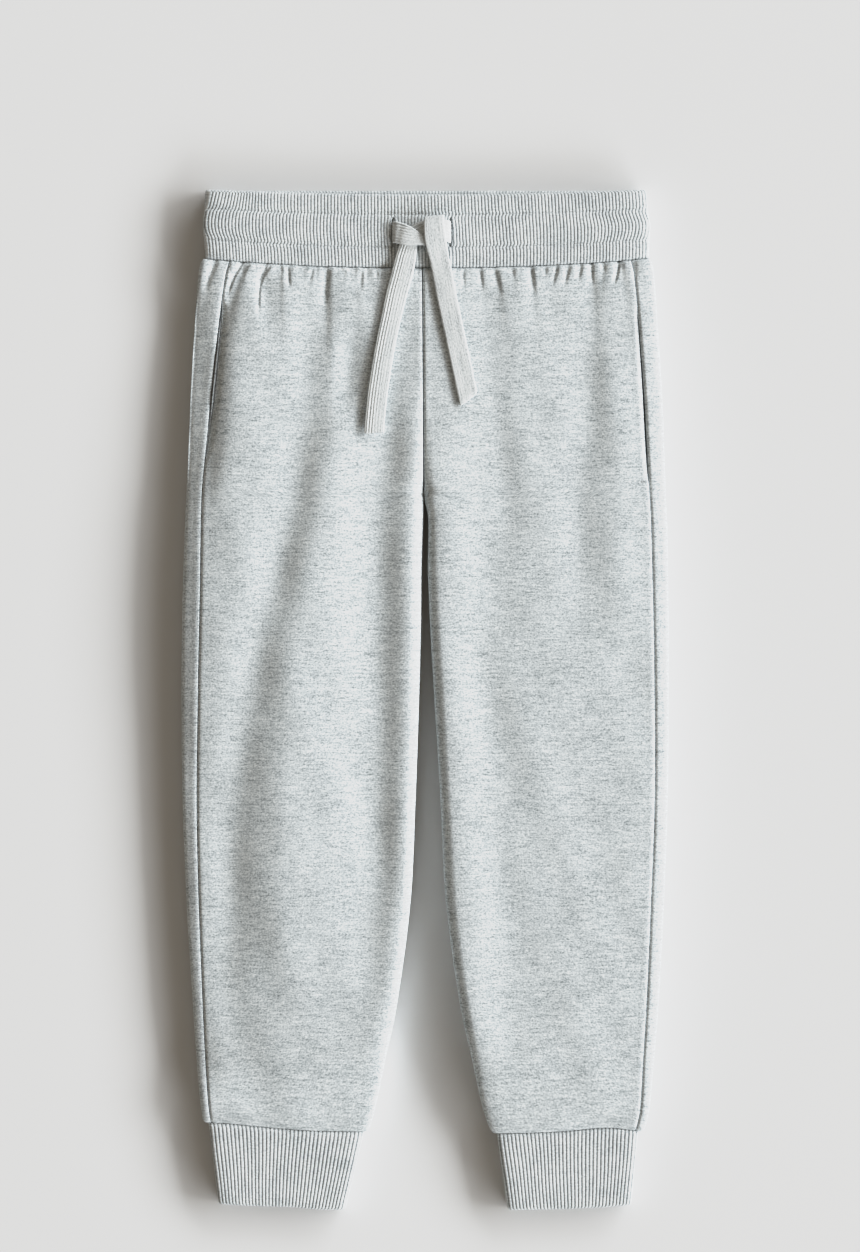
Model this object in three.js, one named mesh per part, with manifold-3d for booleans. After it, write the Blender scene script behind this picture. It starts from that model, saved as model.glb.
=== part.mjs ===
// A child's jogger sweatpants, laid flat on a table with the front up.
// Millimetres. X runs to the right, Y towards the waist and Z up from the table. Left and right are
// the viewer's, looking down on the front. The origin is the middle of the footprint, on the table.
import * as THREE from "three";
import { mergeVertices } from "three/addons/utils/BufferGeometryUtils.js";
import Module from "manifold-3d";

const wasm = await Module();
wasm.setup();

// Driving sizes
const SEAM_GAP = 0.3; // between pieces that are sewn together
const WAIST_Y = 310; // top edge of the waistband at the back
const SEAM_Y = 268; // waist seam at the sides
const CLOTH = 1.6; // sweat jersey
const BAND_WALL = 3; // two layers of rib with the elastic between them
const CUFF_WALL = 2; // rib folded double
const POCKET_WALL = 1.2; // the two layers of a pocket bag, pressed together
const RIB_DEPTH = 0.5;
const BAND_RIB = 2.05; // pitch of the ribs round the waistband
const CUFF_RIB = 2.3; // pitch of the ribs round a cuff
const BAND_DIP = 3.3; // how much lower the front top edge is in the middle
const SEAM_DIP = 5.9; // how much lower the front waist seam is in the middle
const HALF_WAIST = 137;
const SLOT = { length: 15.6, width: 2.8, depth: 2.2, y: 283.5, left: -19.5, right: 15.5 };
const CROWN_POWER = 6; // how square the upper side of a section is
const COLOURS = { jersey: 0xd3d8db, rib: 0xc9ced2, tape: 0xccd1d3, pocketing: 0xb4b9bd };

// Turns rows of numbers into rows with named columns.
function table(names, rows) {
  const columns = names.split(" ");
  return rows.map((row) => Object.fromEntries(row.map((value, i) => [columns[i], value])));
}

const evenly = (count) => Array.from({ length: count }, (_, i) => i / (count - 1));

// The garment's outline seen from above. The inner edges are the centre seam down to the crotch
// and the inside legs below it.
const OUTLINE = table("y outerLeft innerLeft innerRight outerRight", [
  [264, -135.4, -1.6, -1.6, 137.2],
  [256, -137.2, -1.6, -1.6, 138.8],
  [225, -139.8, -1.4, -1.4, 141.2],
  [183, -142.2, -1.1, -1.1, 143.8],
  [146, -143.6, -0.9, -0.9, 145.2],
  [123, -144.6, -0.7, -0.7, 146.0],
  [111, -145.2, -0.8, 1.7, 146.6],
  [80, -146.4, -1.8, 1.6, 147.2],
  [45, -147.3, -2.2, 3.0, 147.6],
  [0, -147.6, -3.4, 5.6, 147.6],
  [-61, -147.0, -5.6, 9.3, 147.0],
  [-122, -144.6, -8.6, 12.6, 144.8],
  [-183, -140.9, -16.6, 20.8, 141.6],
  [-220, -138.4, -24.2, 28.8, 138.6],
  [-244, -136.2, -30.2, 35.4, 136.0],
  [-256, -134.6, -34.2, 40.2, 132.6],
]);

// How thick the garment lies: the roll of its edges, the crown of its upper side, the height of the
// centre seam as a share of the crown, and how far the side seam lies in from each outer edge.
const BULK = table("y edge crown centre seamLeft seamRight", [
  [264, 5.4, 13.2, 0.98, 17.0, 12.5],
  [240, 5.8, 15.0, 0.96, 15.5, 12.0],
  [205, 6.2, 17.0, 0.92, 13.5, 11.5],
  [165, 6.4, 18.0, 0.84, 11.5, 11.0],
  [140, 6.4, 18.2, 0.62, 10.0, 10.5],
  [128, 6.4, 18.3, 0.3, 9.5, 10.3],
  [121, 6.4, 18.4, 0, 9.5, 10.2],
  [60, 6.4, 18.8, 0, 10.8, 9.6],
  [0, 6.4, 19.0, 0, 10.2, 8.8],
  [-61, 6.4, 19.0, 0, 8.8, 8.2],
  [-122, 6.2, 18.8, 0, 7.6, 8.2],
  [-183, 6.0, 18.2, 0, 6.2, 7.6],
  [-220, 5.8, 17.0, 0, 5.4, 6.8],
  [-244, 5.4, 14.6, 0, 5.0, 5.8],
  [-256, 4.8, 12.0, 0, 4.8, 5.0],
]);

// Where the two side pockets are left open, and how wide the slits gape.
const POCKETS = {
  left: { top: 241, bottom: 145, gape: 2.2 },
  right: { top: 236, bottom: 132, gape: 0.7 },
};

// Ridges and troughs that run down the cloth: the line that each follows, its height, and its
// width towards the left and towards the right.
const FOLDS = [
  { name: "inside leg trough, left", height: -4.2, left: 12, right: 10, fadeTop: 90, fadeBottom: 50,
    line: table("y x", [[262, -15], [183, -20], [122, -24.5], [60, -26], [-60, -24.5], [-122, -26.5],
      [-183, -34], [-236, -42]]) },
  { name: "inside leg ridge, left", height: 1.6, left: 4.5, right: 4.5, fadeTop: 60, fadeBottom: 40,
    line: table("y x", [[200, -5.5], [122, -6.2], [60, -7.6], [-60, -10.6], [-122, -13.6], [-183, -21.5],
      [-236, -32]]) },
  { name: "long slanting crest, left", height: 2.8, left: 14, right: 24, fadeTop: 60, fadeBottom: 70,
    line: table("y x", [[258, -56], [183, -54], [122, -60], [60, -72], [0, -80], [-61, -84], [-122, -84],
      [-205, -78]]) },
  { name: "long slanting trough, left", height: -2.6, left: 13, right: 12, fadeTop: 60, fadeBottom: 80,
    line: table("y x", [[225, -69], [183, -72], [122, -80], [60, -95], [0, -107], [-61, -115],
      [-122, -119], [-210, -120]]) },
  { name: "side seam ridge, left", height: 1.2, left: 5, right: 5, fadeTop: 40, fadeBottom: 40,
    line: table("y x", [[140, -134], [60, -136], [-61, -138], [-183, -134], [-240, -131]]) },
  { name: "pocket trough, left", height: -3, left: 8, right: 10, fadeTop: 30, fadeBottom: 40,
    line: table("y x", [[262, -113], [243, -120], [213, -126.5], [183, -129], [145, -132], [110, -134]]) },
  { name: "inside leg ridge, right", height: 1.8, left: 4.5, right: 6, fadeTop: 60, fadeBottom: 40,
    line: table("y x", [[200, 3.5], [122, 6], [60, 9], [-61, 16], [-122, 19.5], [-183, 27.5], [-236, 38]]) },
  { name: "inside leg trough, right", height: -2.4, left: 13, right: 16, fadeTop: 70, fadeBottom: 50,
    line: table("y x", [[200, 32], [122, 43], [60, 40], [0, 41], [-61, 43], [-122, 46], [-183, 49],
      [-230, 55]]) },
  { name: "hip trough, right", height: -1.4, left: 8, right: 9, fadeTop: 15, fadeBottom: 60,
    line: table("y x", [[262, 40], [225, 41], [183, 49], [122, 55], [60, 58]]) },
  { name: "outer thigh trough, right", height: -2.6, left: 11, right: 10, fadeTop: 15, fadeBottom: 70,
    line: table("y x", [[262, 97], [225, 98], [183, 99], [122, 93], [60, 92], [0, 95], [-50, 104]]) },
  { name: "outer thigh crest, right", height: 1.5, left: 10, right: 12, fadeTop: 40, fadeBottom: 60,
    line: table("y x", [[235, 112], [183, 115], [122, 118], [60, 115], [0, 117]]) },
];

// The gathers along the front waist seam: where each starts, how deep it is, how far down it runs
// and how much it leans sideways on the way.
const GATHERS = table("x depth length lean", [
  [-127, 1.5, 26, -7], [-120.5, 1.0, 12, -4], [-109, 2.0, 34, -12], [-97, 1.4, 14, -4],
  [-89, 1.2, 40, 1], [-81.5, 1.0, 12, -1], [-74, 1.4, 14, 0], [-66, 1.0, 10, 0], [-59.5, 1.8, 60, -1],
  [-51.5, 0.9, 10, 0], [-43.5, 1.5, 22, 1], [-34.5, 1.2, 16, 1], [-25.5, 1.0, 12, 1],
  [-15, 0.8, 14, 1], [14, 0.9, 14, 0], [24, 0.9, 12, 0], [32.5, 1.1, 14, 1], [42, 1.3, 30, 3],
  [52.5, 1.0, 14, 1], [64, 1.4, 34, 2], [73, 1.1, 12, 1], [80, 1.2, 12, -2], [87, 1.4, 14, -3],
  [94.5, 1.3, 12, -3], [101, 1.5, 30, 1], [109, 1.2, 14, -3], [118.5, 1.6, 20, 2], [127, 1.0, 14, 3],
]);
const GATHER_WIDTH = 2.3;
const GATHER_PUFF = 0.7; // how far the cloth swells between the gathers
const PUFF_LENGTH = 22;

// Rows of the panels, from the waist seam down. The first few carry the gathers.
const ROWS = [264, 258, 250, 240, 226, 205, 180, 155, 138, 123, 111, 85, 55, 20, -20, -61, -100, -140,
  -180, -210, -232, -247, -256];
const GATHER_ROWS = 4;
const GATHER_COLUMNS = 54;
const FRONT_COLUMNS = 27;
const ROLL_COLUMNS = 11; // of a back panel, round the outer edge of the leg
const INNER_COLUMNS = 5; // and up its inner edge
const FLAT_SHARES = [1 / 3, 2 / 3]; // and between the two, on the table
const HEM_SHARES = evenly(9).slice(1, -1); // the same in its last rows, which bend with the cuff seam

// The seam of each leg with its cuff, and how far above it the last row of the leg starts to bend.
const HEMS = {
  left: table("x y", [[-30, -262.1], [-64, -261.6], [-90, -259.9], [-120, -257.1], [-134, -256.5]]),
  right: table("x y", [[134, -262.5], [124, -260.9], [110, -259.7], [81, -262], [44, -263.2], [38, -262.7]]),
};
const HEM_FADE = 40;
const WAIST_FADE = 60; // the same below the waist seam

// The far ends of the cuffs.
const CUFF_ENDS = {
  left: table("x y", [[-46, -310], [-67, -309.5], [-81, -308.2], [-107, -307.4], [-126, -306.4]]),
  right: table("x y", [[126, -307.2], [107, -308.4], [81, -309.4], [50, -310]]),
};

// The cuffs, from the seam to the far end.
const CUFFS = {
  left: table("share x0 x1 edge crown", [
    [0, -131.8, -37.0, 4.8, 11.6],
    [0.08, -130.8, -38.0, 4.8, 11.9],
    [0.96, -125.6, -48.0, 4.4, 10.2],
    [1, -125.0, -48.6, 3.8, 9.6],
  ]),
  right: table("share x0 x1 edge crown", [
    [0, 43.6, 129.8, 4.8, 11.6],
    [0.08, 44.2, 129.2, 4.8, 11.9],
    [0.96, 50.0, 125.4, 4.4, 10.2],
    [1, 50.6, 124.8, 3.8, 9.6],
  ]),
};

const smooth = (low, high, value) => THREE.MathUtils.smoothstep(value, low, high);

// Reads one column of a table on a smooth curve through its rows, which run from the highest key.
function read(rows, at, column, key = "y") {
  const last = rows.length - 1;
  if (at >= rows[0][key]) return rows[0][column];
  if (at <= rows[last][key]) return rows[last][column];
  const i = rows.findIndex((row) => row[key] < at) - 1;
  const slope = (k) => {
    const [a, b] = [rows[Math.max(k - 1, 0)], rows[Math.min(k + 1, last)]];
    return (b[column] - a[column]) / (b[key] - a[key]);
  };
  const span = rows[i + 1][key] - rows[i][key];
  const t = (at - rows[i][key]) / span;
  const [h0, h1] = [2 * t ** 3 - 3 * t ** 2 + 1, 3 * t ** 2 - 2 * t ** 3];
  const [g0, g1] = [t ** 3 - 2 * t ** 2 + t, t ** 3 - t ** 2];
  return h0 * rows[i][column] + h1 * rows[i + 1][column] + span * (g0 * slope(i) + g1 * slope(i + 1));
}

// A curve in the X-Z plane made of short steps. Its outer side is on the left as it runs.
class Path {
  constructor(points) {
    this.points = points;
    this.lengths = [0];
    for (let i = 1; i < points.length; i++) {
      const step = Math.hypot(points[i].x - points[i - 1].x, points[i].z - points[i - 1].z);
      this.lengths.push(this.lengths[i - 1] + step);
    }
    this.length = this.lengths.at(-1);
  }

  at(distance) {
    const d = THREE.MathUtils.clamp(distance, 0, this.length);
    let i = this.lengths.findIndex((length) => length > d);
    if (i < 1) i = this.points.length - 1;
    const [a, b] = [this.points[i - 1], this.points[i]];
    const step = this.lengths[i] - this.lengths[i - 1] || 1;
    const t = (d - this.lengths[i - 1]) / step;
    return {
      x: a.x + (b.x - a.x) * t,
      z: a.z + (b.z - a.z) * t,
      nx: -(b.z - a.z) / step,
      nz: (b.x - a.x) / step,
    };
  }
}

const ARC_STEPS = 16;
const CROWN_STEPS = 60;

// Points of a quarter circle round (x, z), from one angle to another.
function arc(x, z, radius, from, to) {
  return Array.from({ length: ARC_STEPS + 1 }, (_, i) => {
    const angle = from + ((to - from) * i) / ARC_STEPS;
    return { x: x + radius * Math.cos(angle), z: z + radius * Math.sin(angle) };
  });
}

// Points of the upper side between two angles. It is `half` wide each way and rises from `base` to
// `top`, and `open` is the share of the rise that is left at its inner end.
function crown(middle, half, base, top, open, from, to) {
  return Array.from({ length: CROWN_STEPS + 1 }, (_, i) => {
    const angle = from + ((to - from) * i) / CROWN_STEPS;
    const across = Math.cos(angle);
    const reach = Math.sign(across) * Math.abs(across) ** (2 / CROWN_POWER);
    const held = across < 0 ? open ** CROWN_POWER : 0;
    const rise = Math.max(1 - (1 - held) * across ** 2, 0) ** (1 / CROWN_POWER);
    return { x: middle + half * reach, z: base + (top - base) * rise };
  });
}

const droppedDoubles = (points) =>
  points.filter((p, i) => i === 0 || Math.hypot(p.x - points[i - 1].x, p.z - points[i - 1].z) > 1e-6);

// The section of a flattened tube, from the middle of its underside round by the left.
function tubePath({ x0, x1, edge, crown: top }, inset = 0) {
  const [left, right] = [x0 + inset, x1 - inset];
  const radius = edge - inset;
  const middle = (left + right) / 2;
  return new Path(droppedDoubles([
    { x: middle, z: inset },
    ...arc(left + radius, edge, radius, -Math.PI / 2, -Math.PI),
    ...crown(middle, (right - left) / 2, edge, top - inset, 0, Math.PI, 0),
    ...arc(right - radius, edge, radius, 0, -Math.PI / 2),
    { x: middle, z: inset },
  ]));
}

const SHORTEST_ROLL = 3;

// One half of the body at height y. `out` is the distance outwards from the inner edge.
// The path runs from the inner edge over the top, round the outer edge and back along the table.
function halfSection(side, y) {
  const inner = read(OUTLINE, y, side === "left" ? "innerLeft" : "innerRight");
  const outer = read(OUTLINE, y, side === "left" ? "outerLeft" : "outerRight");
  const width = Math.abs(outer - inner);
  const edge = read(BULK, y, "edge");
  const top = read(BULK, y, "crown");
  const open = Math.max(read(BULK, y, "centre"), 0);
  const seamIn = read(BULK, y, side === "left" ? "seamLeft" : "seamRight");
  const seamReach = ((width - seamIn) / width) * 2 - 1;
  const seamAngle = Math.acos(seamReach ** (CROWN_POWER / 2));
  const innerEdge = edge * (1 - smooth(0, 0.5, open));
  const half = width / 2;
  const front = crown(half, half, edge, top, open, Math.PI, seamAngle);
  const outerRoll = [
    ...crown(half, half, edge, top, open, seamAngle, 0),
    ...arc(width - edge, edge, edge, 0, -Math.PI / 2),
  ];
  const innerRoll = arc(innerEdge, innerEdge, innerEdge, -Math.PI / 2, -Math.PI);
  const whole = new Path(droppedDoubles([...front, ...outerRoll, ...innerRoll]));
  const outward = Math.sign(outer - inner);
  return {
    inner: inner + (outward * SEAM_GAP) / 2,
    outward,
    top,
    path: whole,
    seam: new Path(droppedDoubles(front)).length,
    rollEnd: new Path(droppedDoubles([...front, ...outerRoll])).length,
    flatEnd: whole.length - Math.max(new Path(innerRoll).length, SHORTEST_ROLL),
  };
}

// How far the front waist seam lies below the sides of it.
const DIP_POWER = 2.2;
const seamDip = (x) => SEAM_DIP * (1 - Math.min(Math.abs(x) / HALF_WAIST, 1) ** DIP_POWER);

function foldHeight(x, y) {
  let height = 0;
  for (const fold of FOLDS) {
    const [start, end] = [fold.line[0].y, fold.line.at(-1).y];
    if (y > start || y < end) continue;
    const away = x - read(fold.line, y, "x");
    const width = away < 0 ? fold.left : fold.right;
    const fade = smooth(0, fold.fadeTop, start - y) * smooth(0, fold.fadeBottom, y - end);
    height += fold.height * fade * Math.exp(-((away / width) ** 2));
  }
  return height;
}

function gatherHeight(x, y) {
  const below = Math.max(ROWS[0] - y, 0);
  let height = GATHER_PUFF * Math.exp(-below / PUFF_LENGTH);
  for (const gather of GATHERS) {
    const along = below / gather.length;
    const away = x - gather.x - gather.lean * Math.min(along, 2);
    const width = GATHER_WIDTH * (1 + Math.min(along, 3));
    height -= gather.depth * Math.exp(-along) * Math.exp(-((away / width) ** 2));
  }
  return height;
}

// How much a point lies on the front, which dips further than the back, by its share of the height.
const FRONT_SHARES = [0.15, 0.75];
const onFront = (share) => smooth(...FRONT_SHARES, share);

// How much a point faces up, from the upward part of its normal: only the upper side carries folds.
const FOLDED_SLOPES = [0.05, 0.7];
const facingUp = (nz) => smooth(...FOLDED_SLOPES, nz);

// A point of a half section, lifted by the folds and then moved in by `depth`, square to the plain
// section. The rows next to the seams are bent to meet the band and the cuff.
function bodyPoint(section, side, y, distance, depth, folded = 1) {
  const p = section.path.at(distance);
  const x = section.inner + section.outward * p.x;
  const lift = folded * facingUp(p.nz) * (foldHeight(x, y) + gatherHeight(x, y));
  const waist = SEAM_Y - SEAM_GAP - ROWS[0] - seamDip(x) * onFront(p.z / section.top);
  const hem = read(HEMS[side], x, "y", "x") - ROWS.at(-1);
  const bend = waist * smooth(-WAIST_FADE, 0, y - ROWS[0]) + hem * smooth(-HEM_FADE, 0, ROWS.at(-1) - y);
  return new THREE.Vector3(
    x - section.outward * p.nx * depth,
    y + bend,
    p.z + lift - p.nz * depth,
  );
}

// A closed wall from rows of outer points and rows of inner ones, each point with its place t along
// its row. Rows run downwards, and with `closed` each one is a loop.
function wall(outer, inner, closed) {
  const positions = [];
  const faces = [];
  const numbered = (rows) => rows.map((row) => {
    const line = row.map(({ t, p }) => ({ t, i: positions.push(p.x, p.y, p.z) / 3 - 1 }));
    return closed ? [...line, { t: 1, i: line[0].i }] : line;
  });
  const face = (flip, a, b, c) => faces.push(...(flip ? [a.i, c.i, b.i] : [a.i, b.i, c.i]));
  const band = (upper, lower, flip) => {
    let [i, j] = [0, 0];
    while (i < upper.length - 1 || j < lower.length - 1) {
      const upperNext = j === lower.length - 1
        || (i < upper.length - 1 && upper[i + 1].t <= lower[j + 1].t);
      if (upperNext) face(flip, upper[i], lower[j], upper[++i]);
      else face(flip, upper[i], lower[j], lower[++j]);
    }
  };
  const outside = numbered(outer);
  const inside = numbered(inner);
  outside.slice(1).forEach((row, k) => band(outside[k], row, false));
  inside.slice(1).forEach((row, k) => band(inside[k], row, true));
  band(inside[0], outside[0], false);
  band(outside.at(-1), inside.at(-1), false);
  if (!closed) {
    for (let k = 0; k + 1 < outside.length; k++) {
      const [a, b, c, d] = [outside[k], inside[k], inside[k + 1], outside[k + 1]];
      face(false, a[0], b[0], c[0]);
      face(false, a[0], c[0], d[0]);
      face(false, a.at(-1), c.at(-1), b.at(-1));
      face(false, a.at(-1), d.at(-1), c.at(-1));
    }
  }
  const geometry = new THREE.BufferGeometry();
  geometry.setAttribute("position", new THREE.Float32BufferAttribute(positions, 3));
  geometry.setIndex(faces);
  return facingOut(geometry);
}

function facingOut(geometry) {
  const [p, index] = [geometry.getAttribute("position"), geometry.getIndex()];
  const corner = (k) => new THREE.Vector3().fromBufferAttribute(p, index.getX(k));
  let volume = 0;
  for (let k = 0; k < index.count; k += 3) volume += corner(k).dot(corner(k + 1).cross(corner(k + 2)));
  if (volume < 0) geometry.setIndex(Array.from(index.array).reverse());
  return geometry;
}

// How far a pocket slit gapes at y.
const GAPE_POWER = 0.7;
function gape(side, y) {
  const pocket = POCKETS[side];
  const share = (y - pocket.bottom) / (pocket.top - pocket.bottom);
  return share <= 0 || share >= 1 ? 0 : pocket.gape * Math.sin(Math.PI * share) ** GAPE_POWER;
}

// A leg panel from the distances of its columns along each half section.
function panel(side, columns) {
  const layer = (depth) => ROWS.map((y, k) => {
    const section = halfSection(side, y);
    const distances = columns(section, y, k);
    const span = distances.at(-1) - distances[0];
    return distances.map((distance) => ({
      t: (distance - distances[0]) / span,
      p: bodyPoint(section, side, y, distance, depth),
    }));
  });
  return wall(layer(0), layer(CLOTH), false);
}

const between = (from, to, shares) => shares.map((t) => from + (to - from) * t);

// Columns of a front panel lie closer together near its edges, where the cloth turns down.
const EDGE_CLOSENESS = 0.4;
const closerAtEnds = (t) => t - (EDGE_CLOSENESS * Math.sin(2 * Math.PI * t)) / (2 * Math.PI);

const frontPanel = (side) => panel(side, (section, y, k) => {
  const count = k < GATHER_ROWS ? GATHER_COLUMNS : FRONT_COLUMNS;
  const end = section.seam - SEAM_GAP / 2 - gape(side, y);
  return between(SEAM_GAP / 2, end, evenly(count).map(closerAtEnds));
});

const backPanel = (side) => panel(side, (section, y, k) => [
  ...between(section.seam + SEAM_GAP / 2, section.rollEnd, evenly(ROLL_COLUMNS)),
  ...between(section.rollEnd, section.flatEnd, k < ROWS.length - 2 ? FLAT_SHARES : HEM_SHARES),
  ...between(section.flatEnd, section.path.length - SEAM_GAP / 2, evenly(INNER_COLUMNS)),
]);

// A pocket bag lies smooth under the folds of the front panel and meets it where it is sewn in, at
// the side seam below the slit. Its rows give how far it reaches in from the seam.
const POCKET_ROWS = table("y reach", [
  [250, 50], [240, 62], [226, 70], [205, 76], [180, 77], [155, 74], [138, 68], [123, 56], [111, 40],
]);
const POCKET_COLUMNS = [-1, -0.82, -0.64, -0.46, -0.3, -0.2, -0.12, -0.06, -0.01, 0.06]; // of its reach
const POCKET_DROP = 3.4; // how far it hangs below the plain form of the front
const GATHER_ROOM = 2.4; // it hangs this much lower under the gathers
const GATHER_REACH = 60;
const SEWN_SHARES = [-0.36, -0.14]; // it rises to the side seam between these shares of its reach
const SEWN_HEIGHTS = [140, 160]; // and only below the slit, between these heights
const SEWN_DEPTH = 1.8; // gaps below the cloth, where it is sewn in

function pocketBag(side) {
  const layer = (thickness) => POCKET_ROWS.map(({ y, reach }) => {
    const section = halfSection(side, y);
    const drop = POCKET_DROP + GATHER_ROOM * Math.exp((y - ROWS[0]) / GATHER_REACH);
    return POCKET_COLUMNS.map((share) => {
      const sewn = smooth(...SEWN_SHARES, share) * (1 - smooth(...SEWN_HEIGHTS, y));
      const depth = CLOTH + THREE.MathUtils.lerp(drop, SEAM_GAP * SEWN_DEPTH, sewn) + thickness;
      return { t: share + 1, p: bodyPoint(section, side, y, section.seam + share * reach, depth, sewn) };
    });
  });
  return wall(layer(0), layer(POCKET_WALL), false);
}

// The places round a ribbed tube: ribs from one side of its underside over the top to the other,
// and a plain stretch below. `high` is 1 on a rib and 0 between two.
const PLAIN_STEPS = 5;
function ribPlaces(path, plain, pitch) {
  const ribs = Math.round((path.length - 2 * plain) / pitch);
  const places = [];
  for (let i = 0; i < PLAIN_STEPS; i++) places.push({ t: (plain * i) / PLAIN_STEPS / path.length, high: 1 });
  for (let i = 0; i <= 2 * ribs; i++) {
    places.push({ t: (plain + ((path.length - 2 * plain) * i) / (2 * ribs)) / path.length, high: 1 - (i % 2) });
  }
  for (let i = 1; i < PLAIN_STEPS; i++) {
    places.push({ t: 1 - (plain * (PLAIN_STEPS - i)) / PLAIN_STEPS / path.length, high: 1 });
  }
  return places;
}

// A ribbed tube wall from a few sections. `swell` moves a row's upper side out and `inset` takes the
// whole row in. `place` gives the Y of a point.
const INNER_STEPS = 56;
const SWOLLEN_SLOPES = [0.3, 0.9];
function ribbedTube(sections, thickness, pitch, place) {
  const widest = sections[1];
  const plain = (widest.x1 - widest.x0) / 2 - widest.edge;
  const places = ribPlaces(tubePath(widest), plain, pitch);
  const outer = sections.map((section) => {
    const path = tubePath(section, section.inset);
    return places.map(({ t, high }) => {
      const p = path.at(t * path.length);
      const out = (high - 1) * RIB_DEPTH + (section.swell ?? 0) * smooth(...SWOLLEN_SLOPES, p.nz);
      return { t, p: new THREE.Vector3(p.x + p.nx * out, place(p, section), p.z + p.nz * out) };
    });
  });
  const inner = [sections[0], sections.at(-1)].map((section) => {
    const path = tubePath(section, thickness);
    return Array.from({ length: INNER_STEPS }, (_, i) => {
      const t = i / INNER_STEPS;
      const p = path.at(t * path.length);
      return { t, p: new THREE.Vector3(p.x, place(p, section), p.z) };
    });
  });
  return wall(outer, inner, true);
}

// The waistband: a folded rib tube held by two rows of stitching, which dip between its channels.
const BAND_ROWS = table("y x0 x1 edge crown swell inset", [
  [310, -133.2, 134.0, 5.2, 12.6, 0, 1.1],
  [308.6, -133.4, 134.4, 5.2, 12.7, 0.2, 0],
  [298.4, -133.9, 135.4, 5.3, 12.8, -0.5, 0],
  [289, -134.9, 136.6, 5.4, 13.0, 0.7, 0],
  [279.8, -134.2, 136.6, 5.4, 13.0, -0.5, 0],
  [268, -133.2, 136.2, 5.4, 13.0, 0, 0],
]);

// The front of the band lies lower than the back, most of all in the middle.
function bandPlace(p, section) {
  const share = (WAIST_Y - section.y) / (WAIST_Y - SEAM_Y);
  const across = Math.min(Math.abs(p.x) / HALF_WAIST, 1);
  const top = BAND_DIP * (1 - across ** 2);
  return section.y - onFront(p.z / section.crown) * THREE.MathUtils.lerp(top, seamDip(p.x), share);
}

function solidOf(geometry) {
  const bare = geometry.clone();
  bare.deleteAttribute("normal");
  bare.deleteAttribute("uv");
  const merged = mergeVertices(bare, 1e-4);
  return new wasm.Manifold(new wasm.Mesh({
    numProp: 3,
    vertProperties: new Float32Array(merged.getAttribute("position").array),
    triVerts: new Uint32Array(merged.getIndex().array),
  }));
}

function geometryOf(solid) {
  const mesh = solid.getMesh();
  const geometry = new THREE.BufferGeometry();
  geometry.setAttribute("position", new THREE.BufferAttribute(new Float32Array(mesh.vertProperties), 3));
  geometry.setIndex(new THREE.BufferAttribute(new Uint32Array(mesh.triVerts), 1));
  return geometry;
}

// A buttonhole: an upright slot with round ends, cut through the outer layer of the band.
const CUTTER = { depth: 8, bevelEnabled: false, curveSegments: 5 };
function buttonhole(x) {
  const reach = SLOT.length / 2 - SLOT.width / 2;
  const outline = new THREE.Shape();
  outline.absarc(0, reach, SLOT.width / 2, 0, Math.PI);
  outline.absarc(0, -reach, SLOT.width / 2, Math.PI, 2 * Math.PI);
  const cutter = new THREE.ExtrudeGeometry(outline, CUTTER);
  return cutter.translate(x, SLOT.y, bandHeight(x) - SLOT.depth);
}

// The height of the band's ribs at x, on its middle channel.
function bandHeight(x) {
  const section = BAND_ROWS[3];
  const half = (section.x1 - section.x0) / 2;
  const across = Math.abs(x - (section.x0 + half)) / half;
  const rise = (1 - across ** CROWN_POWER) ** (1 / CROWN_POWER);
  return section.edge + (section.crown - section.edge) * rise + section.swell;
}

function waistband() {
  let solid = solidOf(ribbedTube(BAND_ROWS, BAND_WALL, BAND_RIB, bandPlace));
  for (const x of [SLOT.left, SLOT.right]) solid = solid.subtract(solidOf(buttonhole(x)));
  return geometryOf(solid);
}

function cuff(side) {
  return ribbedTube(CUFFS[side], CUFF_WALL, CUFF_RIB, (p, section) => THREE.MathUtils.lerp(
    read(HEMS[side], p.x, "y", "x") - SEAM_GAP,
    read(CUFF_ENDS[side], p.x, "y", "x"),
    section.share,
  ));
}

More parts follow.
